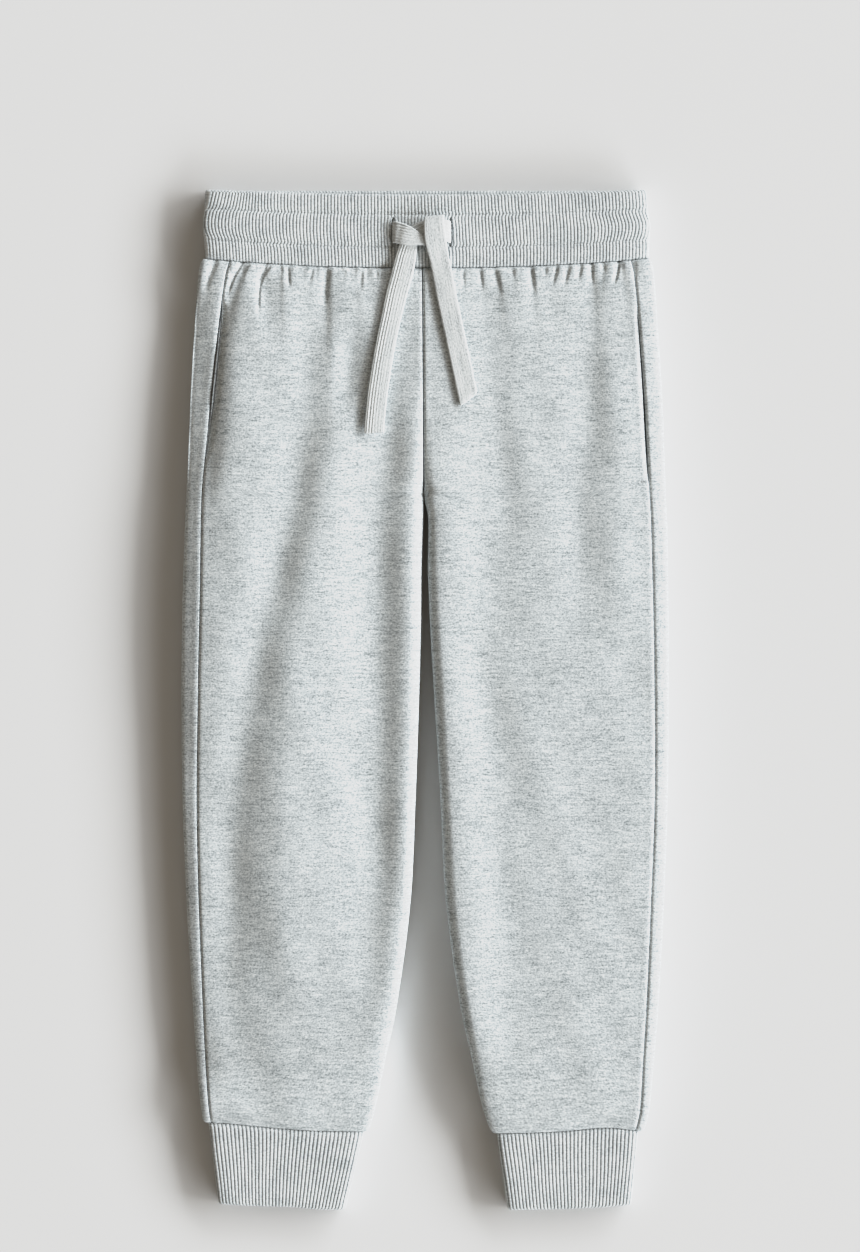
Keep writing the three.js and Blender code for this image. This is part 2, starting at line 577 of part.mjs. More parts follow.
// The drawstring is a knitted tape, tied once: each end comes out of its buttonhole, crosses the
// other three times and lies down the front. `lift` is the height of the middle of the tape above
// the cloth, and `square` the direction that its width lies square to.
const TAPE_THICKNESS = 1.4;
const ON_CLOTH = 1.05;
const CORDS = {
  left: table("x y lift square width", [
    [-19, 283.5, -1.4, 0, 13.2],
    [-19, 283.5, 0.2, 0, 13.2],
    [-18.5, 283.5, 1.25, -4, 13.2],
    [-17.4, 283.3, 1.8, -8, 13],
    [-15.4, 282.7, 2.2, -13, 12.8],
    [-13, 281.9, 2.8, -16, 12.4],
    [-10, 280.8, 3.05, -18, 11.8],
    [-6.6, 279.7, 3.05, -17, 9.8],
    [-3.6, 278.9, 2.95, -13, 7.6],
    [-1, 278.4, 2.6, -9, 6.2],
    [1.6, 278.1, 2, -4, 6],
    [4.2, 278.2, 1.35, 12, 6.6],
    [6.4, 279.3, 1.1, 48, 7.4],
    [7.5, 281.8, ON_CLOTH, 78, 8.4],
    [7.6, 285.4, ON_CLOTH, 93, 9],
    [7.2, 290, ON_CLOTH, 96, 9.6],
    [6.2, 292.6, 2.85, 96, 10.8],
    [5.4, 291, 4.75, 95, 12],
    [5.5, 286.4, 4.75, 95, 12.6],
    [5.9, 281.8, 4.7, 96, 13],
    [6.3, 278.6, 4.3, 97, 13],
    [6.9, 275.4, 3.2, 98, 12.8],
    [7.7, 271.6, 1.9, 99, 12.4],
    [8.7, 267, 1.2, 100, 12],
    [10, 261, ON_CLOTH, 100, 12],
    [12.6, 247, ON_CLOTH, 101, 12],
    [15.9, 231, ON_CLOTH, 101, 12],
    [19.3, 215, ON_CLOTH, 101, 12],
    [22.8, 198.5, ON_CLOTH, 102, 12],
    [26.4, 181.8, 1.4, 104, 12],
  ]),
  right: table("x y lift square width", [
    [15, 283.5, -1.4, 180, 13.4],
    [15, 283.5, 0.2, 180, 13.4],
    [14.6, 283.6, 1.3, 179, 13.4],
    [13.6, 284, 2.3, 177, 13],
    [12, 284.5, 2.9, 175, 12.4],
    [8.4, 285.5, 2.95, 173, 10.6],
    [4.8, 286.1, 2.95, 177, 9.2],
    [1.8, 286.2, 2.5, 183, 8.8],
    [-1, 285.8, 1.6, 190, 8.8],
    [-3.6, 284.9, 1.1, 200, 8.8],
    [-6.4, 283.2, ON_CLOTH, 216, 8.8],
    [-8.6, 280.6, ON_CLOTH, 236, 8.8],
    [-9.7, 277.2, ON_CLOTH, 250, 9.8],
    [-10.4, 273.6, ON_CLOTH, 256, 11.2],
    [-11.6, 268, 1.1, 257, 12.4],
    [-13.5, 259.5, 1.1, 256, 13],
    [-17.2, 246, ON_CLOTH, 256, 12.6],
    [-20.6, 231, ON_CLOTH, 258, 12],
    [-23.7, 216, ON_CLOTH, 259, 12],
    [-26.5, 200, ON_CLOTH, 260, 12],
    [-28.8, 184, ON_CLOTH, 262, 12],
    [-30.4, 168, 1.2, 265, 12],
    [-30.9, 161.5, 1.5, 266, 12],
  ]),
};
const CORD_STEPS = 54;
const CORD_EDGE = 0.35; // how far the rounding of the tape reaches in from its edges
const CORD_SHOULDER = 0.8; // its thickness there, as a share
const SIGHT_HEIGHT = 100; // the cloth is looked for from here
const ACROSS_TAPE = [-0.5, -0.25, 0, 0.25, 0.5];
const KNOT_END = 266; // above this the tape lies on the band, in the knot
const SETTLE = 9; // the tape bridges cloth that is closer together than this

// The highest cloth under the width of the tape.
function clothHeight(cloth, at, width, across) {
  const heights = ACROSS_TAPE.map((share) => {
    const start = new THREE.Vector3(at.x, at.y, SIGHT_HEIGHT).addScaledVector(across, share * width);
    const ray = new THREE.Raycaster(start, new THREE.Vector3(0, 0, -1));
    return ray.intersectObjects(cloth)[0]?.point.z ?? 0;
  });
  return Math.max(...heights);
}

// The stations of a tape: its middle, its width and the direction across it.
function cordStations(rows, cloth) {
  const curve = new THREE.CatmullRomCurve3(
    rows.map(({ x, y, lift }) => new THREE.Vector3(x, y, lift)), false, "centripetal",
  );
  const band = bandHeight(0);
  const stations = evenly(CORD_STEPS + 1).map((share) => {
    const t = curve.getUtoTmapping(share);
    const at = curve.getPoint(t);
    const k = Math.min(Math.floor(t * (rows.length - 1)), rows.length - 2);
    const part = t * (rows.length - 1) - k;
    const angle = THREE.MathUtils.degToRad(
      THREE.MathUtils.lerp(rows[k].square, rows[k + 1].square, part),
    );
    const width = THREE.MathUtils.lerp(rows[k].width, rows[k + 1].width, part);
    const across = new THREE.Vector3(-Math.sin(angle), Math.cos(angle), 0);
    const ground = at.y > KNOT_END ? band : clothHeight(cloth, at, width, across);
    return { at, width, across, ground };
  });
  const near = (station, reach) => stations.filter(({ at }) => at.distanceTo(station.at) < reach);
  const mean = (values) => values.reduce((sum, value) => sum + value, 0) / values.length;
  const highest = new Map(stations.map((station) => [
    station, Math.max(...near(station, SETTLE).map(({ ground }) => ground)),
  ]));
  return stations.map((station) => {
    const ground = mean(near(station, SETTLE).map((other) => highest.get(other)));
    return { ...station, at: station.at.clone().add(new THREE.Vector3(0, 0, ground)) };
  });
}

function cord(side, cloth) {
  const stations = cordStations(CORDS[side], cloth);
  const half = TAPE_THICKNESS / 2;
  const positions = [];
  const faces = [];
  stations.forEach(({ at, width, across }, k) => {
    const ahead = stations[Math.min(k + 1, CORD_STEPS)].at.clone();
    const along = ahead.sub(stations[Math.max(k - 1, 0)].at).normalize();
    const up = along.cross(across).normalize();
    const reach = width / 2;
    const [shoulder, rise] = [reach - CORD_EDGE, half * CORD_SHOULDER];
    const ring = [
      [-reach, 0], [-shoulder, rise], [0, half], [shoulder, rise],
      [reach, 0], [shoulder, -rise], [0, -half], [-shoulder, -rise],
    ];
    for (const [offset, height] of ring) {
      positions.push(...at.clone().addScaledVector(across, offset).addScaledVector(up, height));
    }
  });
  const round = 8; // points of the ring
  const corner = (k, i) => k * round + (i % round);
  for (let k = 0; k < CORD_STEPS; k++) {
    for (let i = 0; i < round; i++) {
      faces.push(corner(k, i), corner(k + 1, i), corner(k + 1, i + 1));
      faces.push(corner(k, i), corner(k + 1, i + 1), corner(k, i + 1));
    }
  }
  for (let i = 1; i < round - 1; i++) {
    faces.push(corner(0, 0), corner(0, i), corner(0, i + 1));
    faces.push(corner(CORD_STEPS, 0), corner(CORD_STEPS, i + 1), corner(CORD_STEPS, i));
  }
  const geometry = new THREE.BufferGeometry();
  geometry.setAttribute("position", new THREE.Float32BufferAttribute(positions, 3));
  geometry.setIndex(faces);
  return facingOut(geometry);
}

function piece(name, geometry, colour) {
  const material = new THREE.MeshStandardMaterial({ color: colour, roughness: 0.95, metalness: 0 });
  const mesh = new THREE.Mesh(geometry, material);
  mesh.name = name;
  return mesh;
}

const garment = new THREE.Group();
garment.name = "jogger_sweatpants";
for (const side of ["left", "right"]) {
  garment.add(piece("front_" + side, frontPanel(side), COLOURS.jersey));
  garment.add(piece("back_" + side, backPanel(side), COLOURS.jersey));
  garment.add(piece("pocket_" + side, pocketBag(side), COLOURS.pocketing));
  garment.add(piece("cuff_" + side, cuff(side), COLOURS.rib));
}
garment.add(piece("waistband", waistband(), COLOURS.rib));

garment.updateMatrixWorld(true);
const under = ["front_left", "front_right", "waistband"].map((name) => garment.getObjectByName(name));
for (const side of ["left", "right"]) {
  garment.add(piece("drawstring_" + side, cord(side, under), COLOURS.tape));
}

export default garment;
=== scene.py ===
import math

import bmesh
import bpy
import numpy as np
from mathutils import Matrix, Vector
from mathutils.bvhtree import BVHTree


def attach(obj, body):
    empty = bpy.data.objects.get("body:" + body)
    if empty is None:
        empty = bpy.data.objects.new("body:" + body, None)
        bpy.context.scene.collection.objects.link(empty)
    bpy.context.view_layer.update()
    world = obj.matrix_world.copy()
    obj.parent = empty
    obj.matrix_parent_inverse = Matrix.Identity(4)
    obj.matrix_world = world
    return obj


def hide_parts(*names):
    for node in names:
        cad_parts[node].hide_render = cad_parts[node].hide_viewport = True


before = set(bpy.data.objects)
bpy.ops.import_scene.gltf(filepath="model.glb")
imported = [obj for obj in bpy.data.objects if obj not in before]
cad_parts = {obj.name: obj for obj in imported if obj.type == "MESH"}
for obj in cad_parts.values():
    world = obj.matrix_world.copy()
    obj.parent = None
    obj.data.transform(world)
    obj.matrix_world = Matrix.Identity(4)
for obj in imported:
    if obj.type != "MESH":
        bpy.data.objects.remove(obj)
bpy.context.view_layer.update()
mm = 0.001  # the sizes below are in millimetres, the meshes in metres


# Columns of numbers by name, from rows that run down from the highest key
def table(names, rows):
    return dict(zip(names.split(), np.array(rows, float).T))


def smooth(low, high, value):
    t = np.clip((value - low) / (high - low), 0, 1)
    return t * t * (3 - 2 * t)


def bell(away, width):
    return np.exp(-((away / width) ** 2))


# One column of a table, on a smooth curve through its rows
def read(rows, at, column, key="y"):
    keys, values = rows[key][::-1], rows[column][::-1]
    before = np.concatenate([[0], np.arange(len(keys) - 1)])
    after = np.concatenate([np.arange(1, len(keys)), [len(keys) - 1]])
    slopes = (values[after] - values[before]) / (keys[after] - keys[before])
    at = np.clip(at, keys[0], keys[-1])
    i = np.clip(np.searchsorted(keys, at, side="right") - 1, 0, len(keys) - 2)
    span = keys[i + 1] - keys[i]
    t = (at - keys[i]) / span
    curve = (2 * t**3 - 3 * t**2 + 1) * values[i] + (3 * t**2 - 2 * t**3) * values[i + 1]
    return curve + span * ((t**3 - 2 * t**2 + t) * slopes[i] + (t**3 - t**2) * slopes[i + 1])


crownPower = 11  # how square the upper side of a section is


# A curve in the X-Z plane, read by the distance along it. Its outer side is on the left.
class Path:
    def __init__(self, pieces):
        x = np.concatenate([piece[0] for piece in pieces])
        z = np.concatenate([piece[1] for piece in pieces])
        step = np.hypot(np.diff(x), np.diff(z))
        kept = np.concatenate([[True], step > 1e-5])
        self.x, self.z = x[kept], z[kept]
        step = np.hypot(np.diff(self.x), np.diff(self.z))
        self.along = np.concatenate([[0], np.cumsum(step)])
        self.middles = (self.along[1:] + self.along[:-1]) / 2
        self.nx, self.nz = -np.diff(self.z) / step, np.diff(self.x) / step
        self.length = self.along[-1]

    def at(self, distance):
        x = np.interp(distance, self.along, self.x)
        z = np.interp(distance, self.along, self.z)
        nx = np.interp(distance, self.middles, self.nx)
        nz = np.interp(distance, self.middles, self.nz)
        size = np.hypot(nx, nz)
        return x, z, nx / size, nz / size


def arc(x, z, radius, start, end):
    angle = np.linspace(start, end, 32)
    return x + radius * np.cos(angle), z + radius * np.sin(angle)


def crown(middle, half, base, top, open, start, end):
    angle = np.linspace(start, end, 500)
    across = np.cos(angle)
    reach = np.sign(across) * np.abs(across) ** (2 / crownPower)
    held = np.where(across < 0, open**crownPower, 0)
    rise = np.maximum(1 - (1 - held) * across**2, 0) ** (1 / crownPower)
    return middle + half * reach, base + (top - base) * rise


# Camera, floor and light

view = {"lens": 100, "x": 3.05, "y": 44.8, "seen": 763.7, "sensor": 36}
light = {
    "floor": (0.78, 0.78, 0.785),
    "keyTurns": (-45, 3, 48), "keyWatts": (6900, 13600, 6900),
    "keyLift": 17.5, "keyAway": 30, "keySize": (23, 8),
    "keyColour": (0.95, 0.98, 1.0),
    "fill": (1.0, 0.87, 0.7), "fillStrength": 0.203,
    "tones": [(0, 0), (0.3, 0.3), (0.6, 0.6), (0.8, 0.745), (1.0, 0.79)],  # highlights are held back
}


def makeView():
    data = bpy.data.cameras.new("camera")
    data.lens = view["lens"]
    data.sensor_width = view["sensor"]
    camera = bpy.data.objects.new("camera", data)
    bpy.context.scene.collection.objects.link(camera)
    height = view["seen"] * view["lens"] / view["sensor"]
    camera.location = (view["x"] * mm, view["y"] * mm, height * mm)
    bpy.context.scene.camera = camera


# One long soft light from the right, as an arc of three
def makeLight():
    lift = math.radians(light["keyLift"])
    for turn, watts in zip(light["keyTurns"], light["keyWatts"]):
        data = bpy.data.lights.new("key", "AREA")
        data.shape = "RECTANGLE"
        data.size, data.size_y = light["keySize"]
        data.energy = watts
        data.color = light["keyColour"]
        key = bpy.data.objects.new("key", data)
        turn = math.radians(turn)
        towards = Vector((math.cos(lift) * math.cos(turn), math.cos(lift) * math.sin(turn), math.sin(lift)))
        key.location = towards * light["keyAway"]
        key.rotation_euler = towards.to_track_quat("Z", "Y").to_euler()
        bpy.context.scene.collection.objects.link(key)
    world = bpy.data.worlds.new("world")
    world.use_nodes = True
    background = world.node_tree.nodes["Background"]
    background.inputs["Color"].default_value = (*light["fill"], 1)
    background.inputs["Strength"].default_value = light["fillStrength"]
    bpy.context.scene.world = world
    seen = bpy.context.scene.view_settings
    seen.view_transform = "Standard"
    seen.use_curve_mapping = True
    curve = seen.curve_mapping.curves[3]
    first, last = curve.points[0], curve.points[-1]
    first.location, last.location = light["tones"][0], light["tones"][-1]
    for place in light["tones"][1:-1]:
        curve.points.new(*place)
    seen.curve_mapping.update()


def makeFloor():
    bm = bmesh.new()
    bmesh.ops.create_grid(bm, x_segments=1, y_segments=1, size=4)
    bmesh.ops.translate(bm, vec=(0, 0, -0.1 * mm), verts=bm.verts)
    mesh = bpy.data.meshes.new("floor")
    bm.to_mesh(mesh)
    bm.free()
    floor = bpy.data.objects.new("floor", mesh)
    bpy.context.scene.collection.objects.link(floor)
    material = bpy.data.materials.new("paleFloor")
    material.use_nodes = True
    shader = material.node_tree.nodes["Principled BSDF"]
    shader.inputs["Base Color"].default_value = (*light["floor"], 1)
    shader.inputs["Roughness"].default_value = 0.9
    shader.inputs["Specular IOR Level"].default_value = 0.1
    mesh.materials.append(material)
    return floor


makeView()
makeLight()
floor = makeFloor()
print("view, light and floor made")


# Materials

knit = {
    "jersey": {"dark": (0.2, 0.228, 0.238), "middle": (0.565, 0.61, 0.632), "light": (0.93, 0.975, 0.99)},
    "rib": {"dark": (0.17, 0.19, 0.2), "middle": (0.52, 0.56, 0.58), "light": (0.85, 0.89, 0.905)},
    "tape": {"dark": (0.36, 0.385, 0.395), "middle": (0.62, 0.65, 0.66), "light": (0.8, 0.825, 0.83)},
    "pocketing": {"dark": (0.14, 0.15, 0.155), "middle": (0.32, 0.34, 0.35), "light": (0.46, 0.48, 0.49)},
    "thread": {"dark": (0.3, 0.32, 0.33), "middle": (0.52, 0.545, 0.56), "light": (0.66, 0.685, 0.7)},
}


class Cloth:
    def __init__(self, name, coordinates="UV"):
        self.material = bpy.data.materials.new(name)
        self.material.use_nodes = True
        self.tree = self.material.node_tree
        self.shader = self.tree.nodes["Principled BSDF"]
        self.shader.inputs["Roughness"].default_value = 0.92
        self.shader.inputs["Specular IOR Level"].default_value = 0.18
        self.shader.inputs["Sheen Weight"].default_value = 0.12
        self.shader.inputs["Sheen Roughness"].default_value = 0.45
        self.uv = self.tree.nodes.new("ShaderNodeTexCoord").outputs[coordinates]

    def link(self, source, socket):
        if isinstance(source, (int, float)):
            socket.default_value = source
        else:
            self.tree.links.new(source, socket)

    # Noise whose grains are this long across the cloth and along it, in UV units
    def grains(self, across, along, detail=2.0, roughness=0.5, shift=0.0):
        mapping = self.tree.nodes.new("ShaderNodeMapping")
        mapping.inputs["Scale"].default_value = (1 / across, 1 / along, 1)
        mapping.inputs["Location"].default_value = (shift, shift * 0.7, shift)
        noise = self.tree.nodes.new("ShaderNodeTexNoise")
        noise.inputs["Scale"].default_value = 1
        noise.inputs["Detail"].default_value = detail
        noise.inputs["Roughness"].default_value = roughness
        self.tree.links.new(self.uv, mapping.inputs["Vector"])
        self.tree.links.new(mapping.outputs["Vector"], noise.inputs["Vector"])
        return noise.outputs["Fac"]

    def sum(self, kind, a, b, c=None):
        node = self.tree.nodes.new("ShaderNodeMath")
        node.operation = kind
        self.link(a, node.inputs[0])
        self.link(b, node.inputs[1])
        if c is not None:
            self.link(c, node.inputs[2])
        return node.outputs[0]

    def ramp(self, value, stops):
        node = self.tree.nodes.new("ShaderNodeValToRGB")
        ends = node.color_ramp.elements
        for place, colour in stops[1:-1]:
            ends.new(place)
        for end, (place, colour) in zip(sorted(ends, key=lambda e: e.position), stops):
            end.position = place
        for end, (place, colour) in zip(ends, stops):
            end.color = (*colour, 1) if isinstance(colour, tuple) else (colour, colour, colour, 1)
        self.link(value, node.inputs["Fac"])
        return node.outputs["Color"]

    def mix(self, share, a, b, kind="MIX"):
        node = self.tree.nodes.new("ShaderNodeMix")
        node.data_type = "RGBA"
        node.blend_type = kind
        self.link(share, node.inputs[0])
        self.link(a, node.inputs[6])
        self.link(b, node.inputs[7])
        return node.outputs[2]

    def part(self, which):
        node = self.tree.nodes.new("ShaderNodeSeparateXYZ")
        self.tree.links.new(self.uv, node.inputs[0])
        return node.outputs[which]

    def finish(self, colour, height, depth, strength=0.6):
        bump = self.tree.nodes.new("ShaderNodeBump")
        bump.inputs["Strength"].default_value = strength
        bump.inputs["Distance"].default_value = depth * mm
        self.link(height, bump.inputs["Height"])
        self.tree.links.new(bump.outputs["Normal"], self.shader.inputs["Normal"])
        self.tree.links.new(colour, self.shader.inputs["Base Color"])
        return self.material


# Heather: short dashes of darker yarn along the courses, thicker in some places than in others
def heather(name, colours, dash=1.0, coordinates="UV"):
    cloth = Cloth(name, coordinates)
    fine = cloth.grains(1.7 * mm * dash, 0.8 * mm, 2, 0.6)
    long = cloth.grains(9 * mm * dash, 1.2 * mm, 2, 0.55, 3.1)
    patch = cloth.grains(26 * mm, 6 * mm, 2, 0.5, 7.7)
    speck = cloth.grains(1 * mm, 0.9 * mm, 1, 0.5, 1.3)
    value = cloth.sum("MULTIPLY_ADD", long, 0.36, cloth.sum("MULTIPLY", fine, 0.42))
    value = cloth.sum("MULTIPLY_ADD", patch, 0.12, value)
    value = cloth.sum("MULTIPLY_ADD", speck, 0.42, value)
    stops = [(0.46, colours["dark"]), (0.65, colours["middle"]), (0.86, colours["light"])]
    colour = cloth.ramp(value, stops)
    wales = cloth.grains(0.62 * mm, 5 * mm, 1, 0.5, 5.5)
    height = cloth.sum("MULTIPLY_ADD", wales, 0.7, fine)
    return cloth.finish(colour, height, 0.12, 0.4)


# Rib: U counts the ribs, with painted shade darkening the valleys at whole numbers, and V runs along them
def ribKnit(name, colours):
    cloth = Cloth(name)
    place = cloth.sum("SUBTRACT", cloth.sum("FRACT", cloth.part(0), 0), 0.5)
    paintedValleyShade = cloth.sum("MULTIPLY", cloth.sum("ABSOLUTE", place, 0), 2)
    specks = cloth.grains(0.8, 0.9 * mm, 2, 0.65)
    long = cloth.grains(2.4, 6 * mm, 2, 0.5, 4.4)
    patch = cloth.grains(12, 16 * mm, 2, 0.5, 9.2)
    value = cloth.sum("MULTIPLY_ADD", specks, 0.95, cloth.sum("MULTIPLY", long, 0.3))
    value = cloth.sum("MULTIPLY_ADD", patch, 0.22, value)
    # painted shade: the colour darkens towards the valleys between the ribs
    value = cloth.sum("MULTIPLY_ADD", cloth.sum("POWER", paintedValleyShade, 2), -0.5, value)
    stops = [(0.18, colours["dark"]), (0.54, colours["middle"]), (0.82, colours["light"])]
    colour = cloth.ramp(value, stops)
    loops = cloth.grains(0.5, 0.7 * mm, 1, 0.5, 2.2)
    return cloth.finish(colour, loops, 0.12, 0.4)


# Knitted tape: U runs across in metres, V along, with fine ridges
def tapeKnit(name, colours):
    cloth = Cloth(name)
    specks = cloth.grains(0.9 * mm, 1.5 * mm, 2, 0.6)
    lines = cloth.grains(0.8 * mm, 22 * mm, 2, 0.5, 6.1)
    patch = cloth.grains(9 * mm, 16 * mm, 1, 0.5, 2.7)
    value = cloth.sum("MULTIPLY_ADD", specks, 0.5, cloth.sum("MULTIPLY", lines, 0.38))
    value = cloth.sum("MULTIPLY_ADD", patch, 0.12, value)
    stops = [(0.36, colours["dark"]), (0.47, colours["middle"]), (0.6, colours["light"])]
    colour = cloth.ramp(value, stops)
    return cloth.finish(colour, cloth.sum("ADD", specks, lines), 0.2, 0.5)


materials = {
    "jersey": heather("heatherJersey", knit["jersey"]),
    # the rib material carries painted shade in the valleys between its ribs
    "rib": ribKnit("heatherRibValleyShade", knit["rib"]),
    "tape": tapeKnit("knittedTape", knit["tape"]),
    "pocketing": heather("pocketJersey", knit["pocketing"], 0.6),
    "thread": heather("sewingThread", knit["thread"], 0.3, "Object"),
}
print("materials made")


# A sheet from a grid of places in millimetres, with a UV for each. The grid may close on itself.
def sheetOf(name, places, uv, material, flip=False, closed=False):
    rows, columns = places.shape[:2]
    bm = bmesh.new()
    bm.loops.layers.uv.new("UVMap")
    bmesh.ops.create_grid(bm, x_segments=columns - 1, y_segments=rows - 1, size=1)
    mesh = bpy.data.meshes.new(name)
    bm.to_mesh(mesh)
    bm.free()
    spots = np.empty(len(mesh.vertices) * 3)
    mesh.vertices.foreach_get("co", spots)
    spots = spots.reshape(-1, 3)
    column = np.rint((spots[:, 0] + 1) / 2 * (columns - 1)).astype(int)
    row = np.rint((1 - spots[:, 1]) / 2 * (rows - 1)).astype(int)
    mesh.vertices.foreach_set("co", (places[row, column] * mm).ravel())
    corner = np.empty(len(mesh.loops), int)
    mesh.loops.foreach_get("vertex_index", corner)
    mesh.uv_layers[0].data.foreach_set("uv", uv[row, column][corner].ravel())
    bm = bmesh.new()
    bm.from_mesh(mesh)
    if closed:
        bmesh.ops.remove_doubles(bm, verts=bm.verts, dist=0.004 * mm)
        edges = [edge for edge in bm.edges if edge.is_boundary]
        if edges:
            bmesh.ops.holes_fill(bm, edges=edges, sides=0)
        bmesh.ops.recalc_face_normals(bm, faces=bm.faces)
    elif flip:
        bmesh.ops.reverse_faces(bm, faces=bm.faces)
    bm.to_mesh(mesh)
    bm.free()
    mesh.shade_smooth()
    mesh.materials.append(material)
    piece = bpy.data.objects.new(name, mesh)
    bpy.context.scene.collection.objects.link(piece)
    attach(piece, "root")
    return piece


def thicken(piece, thickness):
    wall = piece.modifiers.new("wall", "SOLIDIFY")
    wall.thickness = thickness * mm
    wall.offset = -1


def triangles(piece):
    shown = piece.evaluated_get(bpy.context.evaluated_depsgraph_get()).to_mesh()
    return sum(len(face.vertices) - 2 for face in shown.polygons)


# Drawstring: each end comes out of its buttonhole, crosses the other three times and lies on the front

drawstring = {
    "thickness": 1.4, "knotEnd": 266, "settle": 9, "stations": 54, "fine": 300,
    "ridge": 1.7, "ridgeHeight": 0.12, "plainHeight": 0.03, "acrossTop": 44, "acrossUnder": 12,
    "bow": 0.12, "slantFrom": 0.93, "raggedFrom": 0.985, "worn": 0.25,
    "left": {"slant": 0.5, "length": 0.1576, "ridgedSide": 1},
    "right": {"slant": -0.12, "length": 0.1503, "ridgedSide": -1},
}
onCloth = 1.05  # how high the middle of the tape lies over the cloth
# x, y, height over what it lies on, direction of the tape's width, width
route = {
    "left": np.array([
        [-19, 283.5, -1.4, 0, 13.2], [-19, 283.5, 0.2, 0, 13.2], [-18.5, 283.5, 1.25, -4, 13.2],
        [-17.4, 283.3, 1.8, -8, 13], [-15.4, 282.7, 2.2, -13, 12.8], [-13, 281.9, 2.8, -16, 12.4],
        [-10, 280.8, 3.05, -18, 11.8], [-6.6, 279.7, 3.05, -17, 9.8], [-3.6, 278.9, 2.95, -13, 7.6],
        [-1, 278.4, 2.6, -9, 6.2], [1.6, 278.1, 2, -4, 6], [4.2, 278.2, 1.35, 12, 6.6],
        [6.4, 279.3, 1.1, 48, 7.4], [7.5, 281.8, onCloth, 78, 8.4], [7.6, 285.4, onCloth, 93, 9],
        [7.2, 290, onCloth, 96, 9.6], [6.2, 292.6, 2.85, 96, 10.8], [5.4, 291, 4.75, 95, 12],
        [5.5, 286.4, 4.75, 95, 12.6], [5.9, 281.8, 4.7, 96, 13], [6.3, 278.6, 4.3, 97, 13],
        [6.9, 275.4, 3.2, 98, 12.8], [7.7, 271.6, 1.9, 99, 12.4], [8.7, 267, 1.2, 100, 12],
        [10, 261, onCloth, 100, 12], [12.6, 247, onCloth, 101, 12], [15.9, 231, onCloth, 101, 12],
        [19.3, 215, onCloth, 101, 12], [22.8, 198.5, onCloth, 102, 12], [26.4, 181.8, 1.4, 104, 12],
    ]),
    "right": np.array([
        [15, 283.5, -1.4, 180, 13.4], [15, 283.5, 0.2, 180, 13.4], [14.6, 283.6, 1.3, 179, 13.4],
        [13.6, 284, 2.3, 177, 13], [12, 284.5, 2.9, 175, 12.4], [8.4, 285.5, 2.95, 173, 10.6],
        [4.8, 286.1, 2.95, 177, 9.2], [1.8, 286.2, 2.5, 183, 8.8], [-1, 285.8, 1.6, 190, 8.8],
        [-3.6, 284.9, 1.1, 200, 8.8], [-6.4, 283.2, onCloth, 216, 8.8], [-8.6, 280.6, onCloth, 236, 8.8],
        [-9.7, 277.2, onCloth, 250, 9.8], [-10.4, 273.6, onCloth, 256, 11.2],
        [-11.6, 268, 1.1, 257, 12.4], [-13.5, 259.5, 1.1, 256, 13], [-17.2, 246, onCloth, 256, 12.6],
        [-20.6, 231, onCloth, 258, 12], [-23.7, 216, onCloth, 259, 12], [-26.5, 200, onCloth, 260, 12],
        [-28.8, 184, onCloth, 262, 12], [-30.4, 168, 1.2, 265, 12], [-30.9, 161.5, 1.5, 266, 12],
    ]),
}
bandTop = 13.7  # the ribs of the waistband under the knot


# Points on a smooth curve through the route, at even steps, with their places in the route's rows
def alongRoute(points, count):
    whole = np.vstack([2 * points[0] - points[1], points, 2 * points[-1] - points[-2]])
    gap = np.maximum(np.sum(np.diff(whole, axis=0) ** 2, axis=1) ** 0.25, 1e-4)
    t = np.linspace(0, len(points) - 1, 4000)
    i = np.minimum(t.astype(int), len(points) - 2)
    u = (t - i)[:, None]
    a, b, c, d = (whole[i + k] for k in range(4))
    g0, g1, g2 = (gap[i + k][:, None] for k in range(3))
    start = ((b - a) / g0 - (c - a) / (g0 + g1) + (c - b) / g1) * g1
    end = ((c - b) / g1 - (d - b) / (g1 + g2) + (d - c) / g2) * g1
    curve = b + start * u + (3 * (c - b) - 2 * start - end) * u**2 + (2 * (b - c) + start + end) * u**3
    along = np.concatenate([[0], np.cumsum(np.linalg.norm(np.diff(curve, axis=0), axis=1))])
    t = np.interp(np.linspace(0, along[-1], count), along, t)
    return np.array([np.interp(t, np.linspace(0, len(points) - 1, 4000), column) for column in curve.T]).T, t


def clothHeight(trees, x, y):
    tops = [tree.ray_cast(Vector((x, y, 100)) * mm, Vector((0, 0, -1)))[0] for tree in trees]
    return max([top.z / mm for top in tops if top], default=0)


